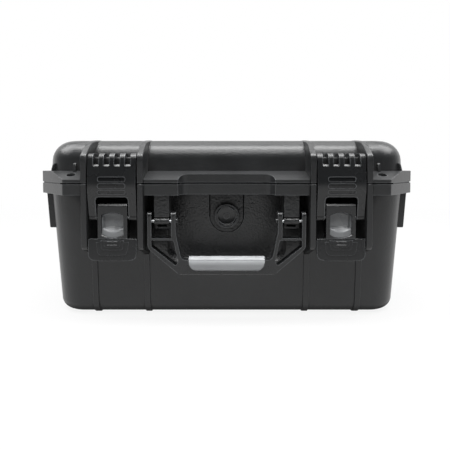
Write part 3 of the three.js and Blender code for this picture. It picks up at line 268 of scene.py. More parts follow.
def block(xs, ys, zs, rim=0.0):
    corners = [(xs[0], ys[0]), (xs[1], ys[0]), (xs[1], ys[1]), (xs[0], ys[1])]
    return prism(rounded(corners, rim), *zs, "Z", rim)


def rod(radius, low, high, reach, rise, rim=0.3, sides=40):
    """A round bar along X, at a reach and rise."""
    return prism(circle(radius, (FRONT - reach, PARTING + rise), sides), low, high, "X", rim)


def stud(radius, low, high, x, z, rim=0.3, sides=64):
    """A round bar along Y."""
    return prism(circle(radius, (x, z), sides), low, high, "Y", rim)


def placed(name, data):
    """A new object in the scene."""
    item = bpy.data.objects.new(name, data)
    bpy.context.scene.collection.objects.link(item)
    return item


def evaluated(item):
    """The mesh of an object with its modifiers applied."""
    graph = bpy.context.evaluated_depsgraph_get()
    return bpy.data.meshes.new_from_object(item.evaluated_get(graph))


def closed(mesh):
    """Whether every edge of the mesh joins exactly two faces."""
    counts = np.zeros(len(mesh.edges), int)
    loops = np.zeros(len(mesh.loops), int)
    mesh.loops.foreach_get("edge_index", loops)
    np.add.at(counts, loops, 1)
    return bool(np.all(counts == 2))


def combined(mesh, others, operation):
    """The mesh with others joined to it, cut from it, or kept where they meet."""
    if not all(closed(solid) for solid in (mesh, *others)):
        raise RuntimeError("an open mesh can't be combined")
    body, tools = placed("body", mesh), [placed("tool", other) for other in others]
    for tool in tools:
        modifier = body.modifiers.new("combine", "BOOLEAN")
        modifier.operation, modifier.solver, modifier.object = operation, "MANIFOLD", tool
    made = evaluated(body)
    for item in [body, *tools]:
        bpy.data.objects.remove(item)
    return made


def union(*meshes):
    return combined(meshes[0], meshes[1:], "UNION")


def minus(mesh, *cuts):
    return combined(mesh, cuts, "DIFFERENCE")


def common(mesh, *others):
    return combined(mesh, others, "INTERSECT")


def softened(mesh, width, limit=50, segments=2):
    """The mesh with its sharp outer edges rounded, by less where the full width would tear it."""
    for share in (1.0, 0.9, 0.8, 0.65, 0.5, 0.35):
        made = bevelled(mesh, share * width, limit, segments)
        if closed(made):
            return made
    raise RuntimeError("the edges can't be rounded")


def bevelled(mesh, width, limit, segments):
    shape = bmesh.new()
    shape.from_mesh(mesh)
    bmesh.ops.remove_doubles(shape, verts=shape.verts, dist=0.01)
    bmesh.ops.dissolve_degenerate(shape, edges=shape.edges, dist=0.01)
    bmesh.ops.dissolve_limit(shape, verts=shape.verts, edges=shape.edges, angle_limit=math.radians(0.5))
    sharp = [
        edge
        for edge in shape.edges
        if len(edge.link_faces) == 2 and edge.is_convex and edge.calc_face_angle(0) > math.radians(limit)
    ]
    bmesh.ops.bevel(
        shape,
        geom=sharp,
        offset=width,
        offset_type="OFFSET",
        segments=segments,
        profile=0.5,
        affect="EDGES",
        clamp_overlap=True,
        material=-1,
        miter_outer="ARC",
    )
    bmesh.ops.remove_doubles(shape, verts=shape.verts, dist=0.002)
    made = bpy.data.meshes.new("softened")
    shape.to_mesh(made)
    shape.free()
    return made


def moved(mesh, x=0.0, y=0.0, z=0.0):
    copy = mesh.copy()
    copy.transform(Matrix.Translation((x, y, z)))
    return copy


def piece(name, mesh, body, slot, *nodes):
    """A finished rigid piece in metres with its slot's material, riding on a body in place of CAD nodes."""
    mesh = mesh.copy()
    mesh.transform(Matrix.Scale(MM, 4))
    shape = bmesh.new()
    shape.from_mesh(mesh)
    bmesh.ops.remove_doubles(shape, verts=shape.verts, dist=2e-6)
    bmesh.ops.dissolve_degenerate(shape, edges=shape.edges, dist=2e-6)
    shape.to_mesh(mesh)
    shape.free()
    mesh.materials.clear()
    mesh.materials.append(MATERIALS[slot])
    mesh.polygons.foreach_set("material_index", [0] * len(mesh.polygons))
    mesh.shade_smooth()
    mesh.set_sharp_from_angle(angle=SMOOTH_ANGLE)
    item = placed(name, mesh)
    item.modifiers.new("normals", "WEIGHTED_NORMAL").keep_sharp = True
    settled = evaluated(item)
    settled.name = name
    item.modifiers.clear()
    item.data = settled
    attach(item, body)
    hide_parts(*nodes)
    return item


# Materials


def linear(hex_colour):
    """A #rrggbb colour as linear light, with full alpha."""
    values = [int(hex_colour[index : index + 2], 16) / 255 for index in (1, 3, 5)]
    return (*[v / 12.92 if v <= 0.04045 else ((v + 0.055) / 1.055) ** 2.4 for v in values], 1.0)


def new_material(name):
    material = bpy.data.materials.new(name)
    material.use_nodes = True
    tree = material.node_tree
    tree.nodes.clear()
    shader = add(tree, "ShaderNodeBsdfPrincipled")
    add(tree, "ShaderNodeOutputMaterial", i0=shader)
    return material, tree, shader


def add(tree, kind, settings=None, **inputs):
    """A node with its settings, and its inputs fed."""
    node = tree.nodes.new(kind)
    for key, value in (settings or {}).items():
        setattr(node, key, value)
    return feed(tree, node, **inputs)


def feed(tree, node, **inputs):
    """Sets or links a node's inputs, by name, or by number as i0, i1 and so on.

    A node given as a value stands for its first output.
    """
    for key, value in inputs.items():
        numbered = key[0] == "i" and key[1:].isdigit()
        socket = node.inputs[int(key[1:]) if numbered else key.replace("_", " ")]
        if isinstance(value, bpy.types.Node):
            value = value.outputs[0]
        if isinstance(value, bpy.types.NodeSocket):
            tree.links.new(value, socket)
        else:
            socket.default_value = value
    return node


def object_place(tree):
    return add(tree, "ShaderNodeTexCoord").outputs["Object"]


def ranged(tree, value, low=0.0, high=1.0, to_low=0.0, to_high=1.0):
    return add(tree, "ShaderNodeMapRange", Value=value, i1=low, i2=high, i3=to_low, i4=to_high)


def maths(tree, operation, *values):
    inputs = {"i%d" % index: value for index, value in enumerate(values)}
    return add(tree, "ShaderNodeMath", {"operation": operation}, **inputs)


def blended(tree, share, first, second):
    """The colour between two colours."""
    return add(tree, "ShaderNodeMix", {"data_type": "RGBA"}, i0=share, i6=first, i7=second).outputs[2]


def ramp(tree, share, *stops):
    """A ramp between two stops, each given as its place and hex colour."""
    node = add(tree, "ShaderNodeValToRGB", Fac=share)
    for element, (place, colour) in zip(node.color_ramp.elements, stops):
        element.position, element.color = place, linear(colour)
    return node


def moulded(name, dark, light, roughness, grain_mm, grain_depth, edge_wear_and_highlight=None, shaded_recesses=False):
    """Injection-moulded plastic: a fine textured skin, faint flow mottling, edges a little paler as wear and
    painted highlight, and painted shade in recesses where asked.
    """
    material, tree, shader = new_material(name)
    place = object_place(tree)
    mottle = add(tree, "ShaderNodeTexNoise", Vector=place, Scale=1 / 0.035, Detail=4.0, Roughness=0.55)
    grain = add(tree, "ShaderNodeTexNoise", Vector=place, Scale=1000 / grain_mm, Detail=2.0, Roughness=0.5)
    tint = ramp(tree, mottle, (0.3, dark), (0.72, light))
    finish = ranged(tree, mottle, 0.3, 0.7, roughness - 0.015, roughness + 0.02)
    if edge_wear_and_highlight:
        # Outer edges pale, partly as wear from hands and straps and partly as a painted highlight. Where asked,
        # recesses get painted shade in their colour and a dull finish.
        inwards = {"inside": True, "only_local": True, "samples": 8}
        buried = add(tree, "ShaderNodeAmbientOcclusion", inwards, Distance=EDGE_REACH).outputs["AO"]
        edge = ranged(tree, buried, 0.88, 0.5)
        if shaded_recesses:
            around = add(tree, "ShaderNodeAmbientOcclusion", {"samples": 8}, Distance=RECESS_REACH)
            open_air = ranged(tree, around.outputs["AO"], 0.3, 0.62)
            edge = maths(tree, "MULTIPLY", edge, open_air)
            # Painted shade: the colour darkens to near-black where the surroundings close in.
            tint = blended(tree, open_air, linear(RECESS_PAINTED_SHADE), tint)
            finish = add(tree, "ShaderNodeMix", i0=open_air, i2=0.95, i3=finish)
        # Painted highlight, partly wear: the outer edges pale towards a lighter grey.
        tint = blended(tree, edge, tint, linear(edge_wear_and_highlight))
    bump = add(tree, "ShaderNodeBump", Strength=grain_depth, Distance=0.0005, Height=grain)
    feed(tree, shader, Base_Color=tint, Roughness=finish, Normal=bump)
    return material, tree, bump


def pebbled(tree, bump, half, low, high):
    """Deepens the grain to a leather-like pebble in the finger pocket, between two levels."""
    parts = add(tree, "ShaderNodeSeparateXYZ", i0=object_place(tree)).outputs
    inside = ranged(tree, maths(tree, "ABSOLUTE", parts["X"]), half, half + 0.002, 1.0, 0.0)
    above = ranged(tree, parts["Z"], low - 0.004, low)
    below = ranged(tree, parts["Z"], high, high + 0.0005, 1.0, 0.0)
    share = maths(tree, "MULTIPLY", inside, maths(tree, "MULTIPLY", above, below))
    feed(tree, bump, Distance=ranged(tree, share, to_low=0.0002, to_high=0.0009))


def foam_material():
    """Black cross-linked polyethylene foam: closed cells, dull, cut faces with fine pits."""
    material, tree, shader = new_material("polyethylene_foam_die_cut")
    cells = add(tree, "ShaderNodeTexVoronoi", Vector=object_place(tree), Scale=1 / 0.0016)
    shade = ramp(tree, cells, (0.0, "#232326"), (1.0, "#101012"))
    bump = add(tree, "ShaderNodeBump", Strength=0.5, Distance=0.0003, Height=cells)
    feed(tree, shader, Base_Color=shade, Roughness=0.95, Specular_IOR_Level=0.2, Normal=bump)
    return material


def steel_material():
    """Stainless pin stock, turned and polished: bright, with faint drawn lines along X."""
    material, tree, shader = new_material("stainless_steel_drawn")
    mapped = add(tree, "ShaderNodeMapping", Vector=object_place(tree), Scale=(60.0, 2500.0, 2500.0))
    lines = add(tree, "ShaderNodeTexNoise", Vector=mapped, Scale=1.0, Detail=2.0)
    spread = ranged(tree, lines, to_low=0.18, to_high=0.32)
    feed(tree, shader, Base_Color=linear("#c9cbcd"), Metallic=1.0, Roughness=spread)
    return material


# The material of each slot
MATERIALS = {}
# The near-black colour that recesses are painted with as shade
RECESS_PAINTED_SHADE = "#0b0b0c"


def make_materials(look):
    # Shells: a coarse grain that breaks up the gloss, edges paled as wear and painted highlight, and painted
    # shade that makes recesses near-black
    MATERIALS["shell_plastic"], tree, bump = moulded(
        "polypropylene_moulded_grain", look.shell, "#292a2b", 0.31, 2.2, 0.8, "#5c5e60", True
    )
    pebbled(tree, bump, 0.078, (PARTING + POCKET_BOTTOM + 3) * MM, (PARTING - BASE_FLANGE) * MM)
    for slot, *finish in (
        # Latches and handle: satin, smoother than the shells, with edges paled as wear and painted highlight
        ("latch_plastic", "nylon_moulded_satin", look.latch, "#232425", 0.27, 1.4, 0.04, "#606264"),
        # Triggers: smooth light grey
        ("trigger_plastic", "abs_moulded_grey", look.trigger, "#949698", 0.28, 1.2, 0.04),
        # Grip: soft and matt
        ("grip_rubber", "thermoplastic_rubber_overmoulded", look.grip, "#a2a4a6", 0.45, 0.8, 0.2),
        # Seals: dull and nearly black
        ("seal_rubber", "silicone_extruded_black", "#0e0e0f", "#141415", 0.6, 0.7, 0.2),
    ):
        MATERIALS[slot] = moulded(*finish)[0]
    MATERIALS["foam"] = foam_material()
    MATERIALS["pin_steel"] = steel_material()


# Shell shapes


def shell_plan(inset):
    outline = plan(HALF_WIDTH - inset, HALF_DEPTH - inset, max(CORNER - inset, 0.5))
    outline[:, 1] += SHIFT
    return outline


def base_form(inset, top):
    """The outside of the base, drawn in by an inset on every face."""
    turn, floor = max(BASE_ROUND - inset, 0.5), RIB_PROUD + inset
    rings = []
    for angle in np.linspace(0, math.pi / 2, ROUND_STEPS + 1):
        level = floor + turn * (1 - math.cos(angle))
        lean = (PARTING - level) * BASE_SLOPE
        rings.append((shell_plan(inset + lean + turn * (1 - math.sin(angle))), level))
    rings.append((shell_plan(inset + (PARTING - top) * BASE_SLOPE), top))
    return loft(rings)


def lid_form(inset, bottom):
    """The outside of the lid, drawn in by an inset on every face."""
    turn, ceiling = max(LID_ROUND - inset, 0.5), LID_SURFACE - inset
    rings = [(shell_plan(inset + (bottom - PARTING) * LID_SLOPE), bottom)]
    for angle in np.linspace(math.pi / 2, 0, ROUND_STEPS + 1):
        level = ceiling - turn * (1 - math.cos(angle))
        lean = (level - PARTING) * LID_SLOPE
        rings.append((shell_plan(inset + lean + turn * (1 - math.sin(angle))), level))
    return loft(rings)


def rim_ring(inner, outer, low, high):
    """A ring that follows the rim, between two distances outside the cavity."""
    return minus(
        loft([(shell_plan(WALL - outer), low), (shell_plan(WALL - outer), high)]),
        loft([(shell_plan(WALL - inner), low - 1), (shell_plan(WALL - inner), high + 1)]),
    )


def flange_plan():
    """Lock tabs with cut corners, and the finger recess between them."""
    rear, turn = HALF_DEPTH + FLANGE_REAR + SHIFT, CORNER + FLANGE_REAR
    recess = FRONT + RECESS_DEPTH
    share = np.linspace(0, 1, 13)[:, None]
    bends = ((RECESS_FLAT, recess), (RECESS_HALF, recess), (RECESS_HALF, FRONT))
    flat, bend, tip = (np.array(place) for place in bends)
    curve = (1 - share) ** 2 * flat + 2 * share * (1 - share) * bend + share**2 * tip
    corner = arc(turn, np.linspace(0, math.pi / 2, 17), (FLANGE_HALF - turn, rear - turn))
    back = FRONT + CHAMFER_BACK
    tab = [(RECESS_HALF, FRONT), (TAB_HALF, FRONT, 1.5), (FLANGE_HALF, back, 1.5), (RECESS_HALF, 0)]
    cut_corner = rounded(tab, 0.0)
    half = np.concatenate([curve, cut_corner[cut_corner[:, 0] > RECESS_HALF + 1], corner])
    return np.concatenate([half, half[::-1] * np.array([-1.0, 1.0])])


def flange_cuts(low, high):
    """The latch bays and the padlock holes."""
    cuts = []
    for sign in SIDES:
        xs = about(sign * LATCH_X, BAY_HALF)
        cuts.append(block(xs, [FRONT - 5, FRONT - BAY_FLANGE_REACH], [low - 1, high + 1]))
        hole = circle(HOLE_RADIUS, (sign * HOLE_X, FRONT + HOLE_BACK))
        cuts.append(prism(hole, low - 1, high + 1, "Z", 0))
    return cuts


def rib_spans():
    """Where the bold ribs stand along X: one on each side of each latch bay."""
    lows = [sign * LATCH_X + edge for sign in SIDES for edge in (-BAY_HALF - RIB_WIDTH, BAY_HALF)]
    return [(low, low + RIB_WIDTH) for low in lows]


def pocket_form(margin):
    """The soft-edged finger pocket behind the handle, leaning as the wall does."""
    level = (POCKET_TOP + POCKET_BOTTOM) / 2
    half = (POCKET_TOP - POCKET_BOTTOM) / 2 + margin
    front = -HALF_DEPTH + SHIFT - level * BASE_SLOPE
    rings = []
    for share in np.linspace(0, 1, 9):
        shrink = -3 + 6 * share
        depth = -1 + (POCKET_DEPTH + margin + 1) * (3 * share**2 - 2 * share**3)
        outline = plan(POCKET_HALF + margin - shrink, half - shrink, 14)
        rings.append((outline, depth))
    mesh = loft(rings, "Y")
    for vertex in mesh.vertices:
        x, depth, v = vertex.co
        vertex.co = (x, front + depth - v * BASE_SLOPE, PARTING + level + v)
    return mesh


POCKET_FLOOR = -HALF_DEPTH + SHIFT - VALVE_RISE * BASE_SLOPE + POCKET_DEPTH
BOSS_FACE = POCKET_FLOOR - BOSS_PROUD - BOSS_RADIUS * BASE_SLOPE
VALVE_Z = PARTING + VALVE_RISE
NUT_FACE = POCKET_FLOOR + WALL + BOSS_RADIUS * BASE_SLOPE
VALVE_FRONT = BOSS_FACE - VALVE_GAP - VALVE_THICK


def boss_form(low, high, radius=BOSS_RADIUS, rim=0.0):
    """The U-shaped boss that carries the valve, hanging from the flange."""
    top = -BASE_FLANGE / 2
    corners = [(radius, top), *arc(radius, np.linspace(0, -math.pi, 33), (0.0, VALVE_RISE)), (-radius, top)]
    return prism(face(corners, 0.0), low, high, "Y", rim)


def knuckle_spans(owner):
    """Where the knuckles of the base (0) or the lid (1) stand along X."""
    starts = [sign * HINGE_X - LEAF_HALF for sign in SIDES]
    lows = [start + index * KNUCKLE_PITCH + KNUCKLE_GAP for start in starts for index in range(owner, 5, 2)]
    return [(low, low + KNUCKLE_LENGTH) for low in lows]


def knuckle(span, direction):
    """A barrel on the hinge's axis, with a leaf below (-1) or above (1) the seam."""
    barrel = prism(circle(BARREL, (HINGE_Y, HINGE_Z)), *span, "X", 0.5)
    near, far = HINGE_Z + direction * SEAM / 2, HINGE_Z + direction * BARREL
    ys = [HALF_DEPTH + FLANGE_REAR + SHIFT - 1, HINGE_Y]
    return union(barrel, block(span, ys, sorted([near, far])))


def hinge_bores():
    outline, half = circle(HINGE_BORE, (HINGE_Y, HINGE_Z), 24), LEAF_HALF + 1
    return [prism(outline, *about(sign * HINGE_X, half), "X", 0) for sign in SIDES]


def base_rib(span):
    """One of the four bold ribs beside the latch bays, below the parting plane."""
    toe = WALL_REACH + RIB_TOE * BASE_SLOPE
    outline = side([(WALL_REACH, 0, 0), (RIB_REACH, 0, 0.5), (RIB_REACH, RIB_BOTTOM, 5), (toe, RIB_TOE, 0)])
    return prism(outline, *span, "X", 1.6)


def foot_rib(span):
    """A slim rib down the front, under the base as a foot, and up the back."""
    slab = block(span, [-HALF_DEPTH - 1 + SHIFT, HALF_DEPTH + 1 + SHIFT], [-1, PARTING])
    return softened(common(base_form(-RIB_PROUD, PARTING + RIB_TOE + 1.2), slab), 0.55)


def side_rib(sign, y):
    """A short fin under the flange that follows the draft of the side wall."""
    foot, reach = SIDE_RIB_FOOT, FLANGE_HALF - 0.5
    inner = HALF_WIDTH - WALL / 2 + foot * BASE_SLOPE
    foot_reach = reach + (foot + BASE_FLANGE) * BASE_SLOPE
    corners = [
        (inner, -5, 0), (inner, foot, 0), (foot_reach, foot, 1.2),
        (reach, -BASE_FLANGE, 0.5), (reach, -5, 0),
    ]
    return prism(face(mirrored(corners, sign)), y, y + SIDE_RIB_WIDTH, "Y", 0.7)


def handle_lug(sign):
    """A lug for the handle: a strap under the flange, a barrel, side webs and a narrow shelf."""
    low, high = sorted([sign * LUG_INNER, sign * LUG_OUTER])
    inside, foot = WALL_REACH + LUG_FOOT * BASE_SLOPE, LUG_FOOT
    strap = side([(-8, -5), (-3, -5), (-3, -33.4, 1.0), (-5.4, -34.6, 0.5), (-8, -38, 1.5)])
    web = side([(inside, -5, 0), (-7, -5, 0), (-7, foot, 0.5), (inside, foot, 0)])
    shelf = side([(inside, foot + 2, 0), (-7.4, foot + 2, 0.3), (-7.4, foot, 0.3), (inside, foot, 0)])
    return union(
        prism(strap, low, high, "X", 0.8),
        rod(3.6, low, high, *HANDLE_PIN, 0.6),
        prism(web, low, low + 3, "X", 0.3),
        prism(web, high - 3, high, "X", 0.3),
        prism(shelf, low, high, "X", 0.3),
    )


def catch_keeper(middle):
    """The ledge under the flange that a trigger's hook holds on to."""
    inside, ledge = WALL_REACH + CATCH_TOP * BASE_SLOPE, CATCH_TOP - 2.5
    front = HOOK_REACH + HOOK_THICK + CATCH_GAP + CATCH_THICK
    back = front - CATCH_THICK
    corners = [
        (inside, CATCH_TOP, 0), (front, CATCH_TOP), (front, CATCH_BOTTOM),
        (back, CATCH_BOTTOM), (back, ledge), (inside, ledge, 0),
    ]
    return prism(side(corners), *about(middle, CATCH_HALF), "X", 0.3)


def flange(low, high, *cuts):
    """A flange between two levels, cut by its bays, holes and what else is given, with eased edges."""
    plate = prism(flange_plan(), low, high, "Z", 0)
    return softened(minus(plate, *cuts, *flange_cuts(low, high)), FLANGE_EDGE)


def seam_land(sign):
    """A low land just inside the edge of a lock tab, which keeps light from showing through the seam."""
    low, top = PARTING - 1, PARTING + SEAM + LIP - LAND_CLEARANCE
    inset = [
        prism(flange_plan() + np.array(shift), low, top, "Z", 0)
        for shift in ((-sign * LAND_INSET, 0.0), (0.0, LAND_INSET))
    ]
    zone = block(sorted([sign * LAND_START, sign * FLANGE_HALF]), [FRONT, LAND_END], [low, top])
    return minus(common(common(*inset), zone), base_form(-LAND_INSIDE, top + 1))


def lower_shell():
    rib_places = (FRONT + SIDE_RIB_PLACE, -FRONT - SIDE_RIB_PLACE - SIDE_RIB_WIDTH + 2 * SHIFT)
    outside = union(
        base_form(0, PARTING),
        flange(PARTING - BASE_FLANGE, PARTING - LIP),
        *[base_rib(span) for span in rib_spans()],
        *[foot_rib(span) for span in rib_spans()],
        *[side_rib(sign, y) for sign in SIDES for y in rib_places],
        *[catch_keeper(sign * LATCH_X) for sign in SIDES],
    )
    zone = block([-ZONE_HALF, ZONE_HALF], [FRONT, 0], [0, PARTING - BASE_FLANGE])
    hollowed = minus(outside, common(pocket_form(0), zone))
    moat = boss_form(FRONT + 15, POCKET_FLOOR + GROOVE_DEPTH, BOSS_RADIUS + GROOVE_WIDTH)
    groove = minus(moat, boss_form(FRONT, POCKET_FLOOR + 3))
    hollowed = minus(hollowed, common(groove, zone))
    lugged = union(
        hollowed,
        boss_form(BOSS_FACE, POCKET_FLOOR + WALL / 2, rim=0.6),
        *[handle_lug(sign) for sign in SIDES],
    )
    cavity = minus(base_form(WALL, PARTING + 1), pocket_form(WALL), boss_form(BOSS_FACE, NUT_FACE))
    open_shell = union(
        minus(lugged, cavity),
        rim_ring(*RIM_TONGUE, PARTING - 1, PARTING + RIM_RISE),
        *[seam_land(sign) for sign in SIDES],
        *[knuckle(span, -1) for span in knuckle_spans(0)],
    )
    bores = hinge_bores()
    for sign in SIDES:
        bay = about(sign * LATCH_X, BAY_HALF + RIB_WIDTH + 1)
        bores.append(rod(LEVER_BORE, *bay, *LEVER_PIVOT, 0))
        bores.append(rod(HANDLE_BORE, *about(sign * LUG_MIDDLE, 9), *HANDLE_PIN, 0))
    bores.append(stud(VALVE_BORE, BOSS_FACE - 1, NUT_FACE + 1, 0, VALVE_Z, 0))
    return minus(open_shell, *bores)


def lid_rib(span):
    """The upper end of a bold rib: a flat face, a shoulder and a crest that runs back onto the lid."""
    inside = -(FLANGE_FRONT + LID_ROUND)
    corners = [
        (inside, SEAM, 0), (RIB_REACH, SEAM, 0.5), (RIB_REACH, RIB_SHOULDER, 2.4), (1.7, RIB_BROW - 1.6, 1.5),
        (-0.6, RIB_BROW + 0.6, 1.5), (CREST_REACH, CREST_RISE, 21), (inside, CASE_TOP - PARTING, 0),
    ]
    return prism(side(corners, steps=10), *span, "X", 1.6)


def crown_rib(span):
    """A low rib that runs back over the lid and down behind."""
    ys = [-HALF_DEPTH + SHIFT, HALF_DEPTH + 1 + SHIFT]
    slab = block(span, ys, [PARTING + LID_FLANGE / 2, CASE_TOP + 1])
    return softened(common(lid_form(-LID_RIB_PROUD, PARTING + LID_FLANGE), slab), 0.6)


def keeper_bar(middle):
    """The upturned bar across a latch bay that the claw hooks over."""
    inside, back = WALL_REACH - BAR_TOP * LID_SLOPE, BAR_REACH - BAR_THICK
    corners = [
        (inside, 13, 0), (BAR_REACH, 13, 1.4), (BAR_REACH, BAR_TOP, 1.4),
        (back, BAR_TOP, 1.4), (back, 17, 0.8), (inside, 17, 0),
    ]
    return prism(side(corners), middle - BAY_HALF - 1, middle + BAY_HALF + 1, "X", 0)


def flange_fins():
    """Small rounded nubs where the flange meets the lid's wall, near the padlock holes."""
    corners = [(-20.6, 6, 0), (-20.6, 13.4, 2.2), (-22.6, 20.8, 2.2), (-25.8, 21.4, 0), (-25.8, 6, 0)]
    straight = [prism(side(corners), *about(sign * HOLE_X, 1.5), "X", 0.9) for sign in SIDES]
    cornered = []
    for sign, fin in zip(SIDES, straight):
        turned = fin.copy()
        centre_x, centre_y = HALF_WIDTH - CORNER, FRONT + FLANGE_FRONT + CORNER
        turned.transform(Matrix.Translation((-sign * HOLE_X, -centre_y, 0)))
        turned.transform(Matrix.Rotation(sign * math.pi / 4, 4, "Z"))
        turned.transform(Matrix.Translation((sign * centre_x, centre_y, 0)))
        cornered.append(turned)
    return straight + cornered


def lid_flange():
    """The lid's flange, whose upper face slopes down to the front."""
    fall, over = (LID_FLANGE - RAMP_FOOT) / FLANGE_FRONT, LID_FLANGE + 5
    back, wide = -FLANGE_FRONT, FLANGE_HALF + 1
    above = side([(5, RAMP_FOOT - 5 * fall, 0), (back, LID_FLANGE, 0), (back, over, 0), (5, over, 0)])
    return flange(PARTING + SEAM + LIP, PARTING + LID_FLANGE, prism(above, -wide, wide, "X", 0))


def upper_shell():
    low = PARTING + SEAM
    outside = union(
        lid_form(0, low),
        lid_flange(),
        *[lid_rib(span) for span in rib_spans()],
        *[crown_rib(span) for span in rib_spans()],
        *flange_fins(),
        *[keeper_bar(sign * LATCH_X) for sign in SIDES],
    )
    hollow = minus(outside, lid_form(WALL, low - 1), rim_ring(*GASKET_GROOVE, low - 1, PARTING + GASKET_RISE))
    whole = union(hollow, *[knuckle(span, 1) for span in knuckle_spans(1)])
    return minus(whole, *hinge_bores())


# Latch shapes


def ring_of(outline, width, depth):
    """A band outside an outline in the front view, drawn out along Y."""
    band = prism(drawn_in(outline, -width), *depth, "Y", 0)
    return minus(band, prism(outline, depth[0] - 1, depth[1] + 1, "Y", 0))


def claw_blank(forwards=0.0):
    """The claw's side profile drawn out over its width, set forwards by an amount."""
    back, crown = BAR_REACH - BAR_THICK - 3, BAR_TOP + 0.4
    top = crown + 3.7
    corners = [
        (CLAW_PIVOT[0] + CLAW_EYE, CLAW_PIVOT[1], 2), (BELLY_REACH, BELLY_RISE - 3, 6),
        (BELLY_REACH, BELLY_RISE + 3, 6), (CHEST_REACH, CHEST_RISE - 2, 4.5),
        (CHEST_REACH - 0.5, CHEST_RISE + 4, 3), (CHEST_REACH - 1.4, top - 4.0, 2.2),
        (CHEST_REACH - 3.6, top - 1.0, 1.6), (CHEST_REACH - 6.0, top, 1.2),
        (back - 3, top, 4.5), (back - 3, BAR_TOP - 3, 0.6), (back, BAR_TOP - 3, 0.6), (back, crown, 1),
        (CHEST_REACH - 5, crown, 1), (CHEST_REACH - 4.5, CHEST_RISE, 4.5),
        (BELLY_REACH - 4.5, BELLY_RISE, 4.5), (CLAW_PIVOT[0] - CLAW_EYE / 2, CLAW_PIVOT[1] + CLAW_EYE / 2),
    ]
    plate = prism(side(corners, steps=8), -CLAW_HALF, CLAW_HALF, "X", 0.8)
    eye = rod(CLAW_EYE, 0.25 - CLAW_HALF, CLAW_HALF - 0.25, *CLAW_PIVOT, 0.5)
    return moved(union(plate, eye), y=-forwards)


def claw_bar(rise, height):
    """The front outline of one of the claw's bars, with round ends."""
    turn = height / 2
    low, high = rise - turn, rise + turn
    return face([(x, level, turn) for x, level in rectangle(CLAW_BAR_HALF, low, high)])


def rectangle(half, low, high):
    """The corners of a rectangle, from its lower left."""
    return [(-half, low), (half, low), (half, high), (-half, high)]


def claw_shape(rim):
    """The toothed claw that hooks over the lid's keeper bar, with rimmed bars, about its bay's middle."""
    before, skin = FRONT - AHEAD, [FRONT - AHEAD, FRONT + 1]
    half, top = ARCH_HALF, ARCH_TOP
    arch = face([(-half, -48), (half, -48), (half, top, 4), (-half, top, 4)], steps=8)
    bars = [claw_bar(rise, height) for rise, height in CLAW_BARS]
    sunk = [minus(prism(bar, before, FRONT + 3, "Y", 0), claw_blank(-0.8)) for bar in bars]
    proud = claw_blank(0.3)
    raised = [common(ring_of(bar, rim, skin), proud) for bar in bars]
    raised.append(common(ring_of(arch, 0.9, skin), proud))
    teeth = side([(12, 7.2, 0), (-0.4, 19.6, 0.3), (-22, 19.6, 0), (-22, 40, 0), (12, 40, 0)])
    gaps = [(gap - 1.5) * TOOTH_GAP_PITCH for gap in range(4)]
    cuts = [prism(teeth, *about(middle, TOOTH_GAP_HALF), "X", 0) for middle in gaps]
    cuts += [prism(arch, before, FRONT + 22, "Y", 0), rod(CLAW_BORE, -25, 25, *CLAW_PIVOT, 0)]
    body = softened(minus(claw_blank(), *cuts), 0.5)
    return minus(union(body, *[minus(band, *cuts) for band in raised]), *sunk)


def skirt_panel(forwards, outline, depth=3.0):
    """The flared skirt inside a front outline, set forwards by an amount."""
    top, foot = SKIRT_TOP, SKIRT_BOTTOM
    skirt = side([(1, top, 0.9), (1 - depth, top, 0.5), (3 - depth, foot, 0.8), (3, foot, 1.0)])
    slab = prism(skirt + np.array([-forwards, 0.0]), -SKIRT_HALF, SKIRT_HALF, "X", 0)
    return common(slab, prism(outline, FRONT - AHEAD, FRONT + 8, "Y", 0))


def tray(half, flare, top, bottom, turn):
    """A U-shaped front outline that widens upwards."""
    foot = half - flare
    return face([(-foot, bottom, turn), (foot, bottom, turn), (half, top, 0.5), (-half, top, 0.5)], steps=8)


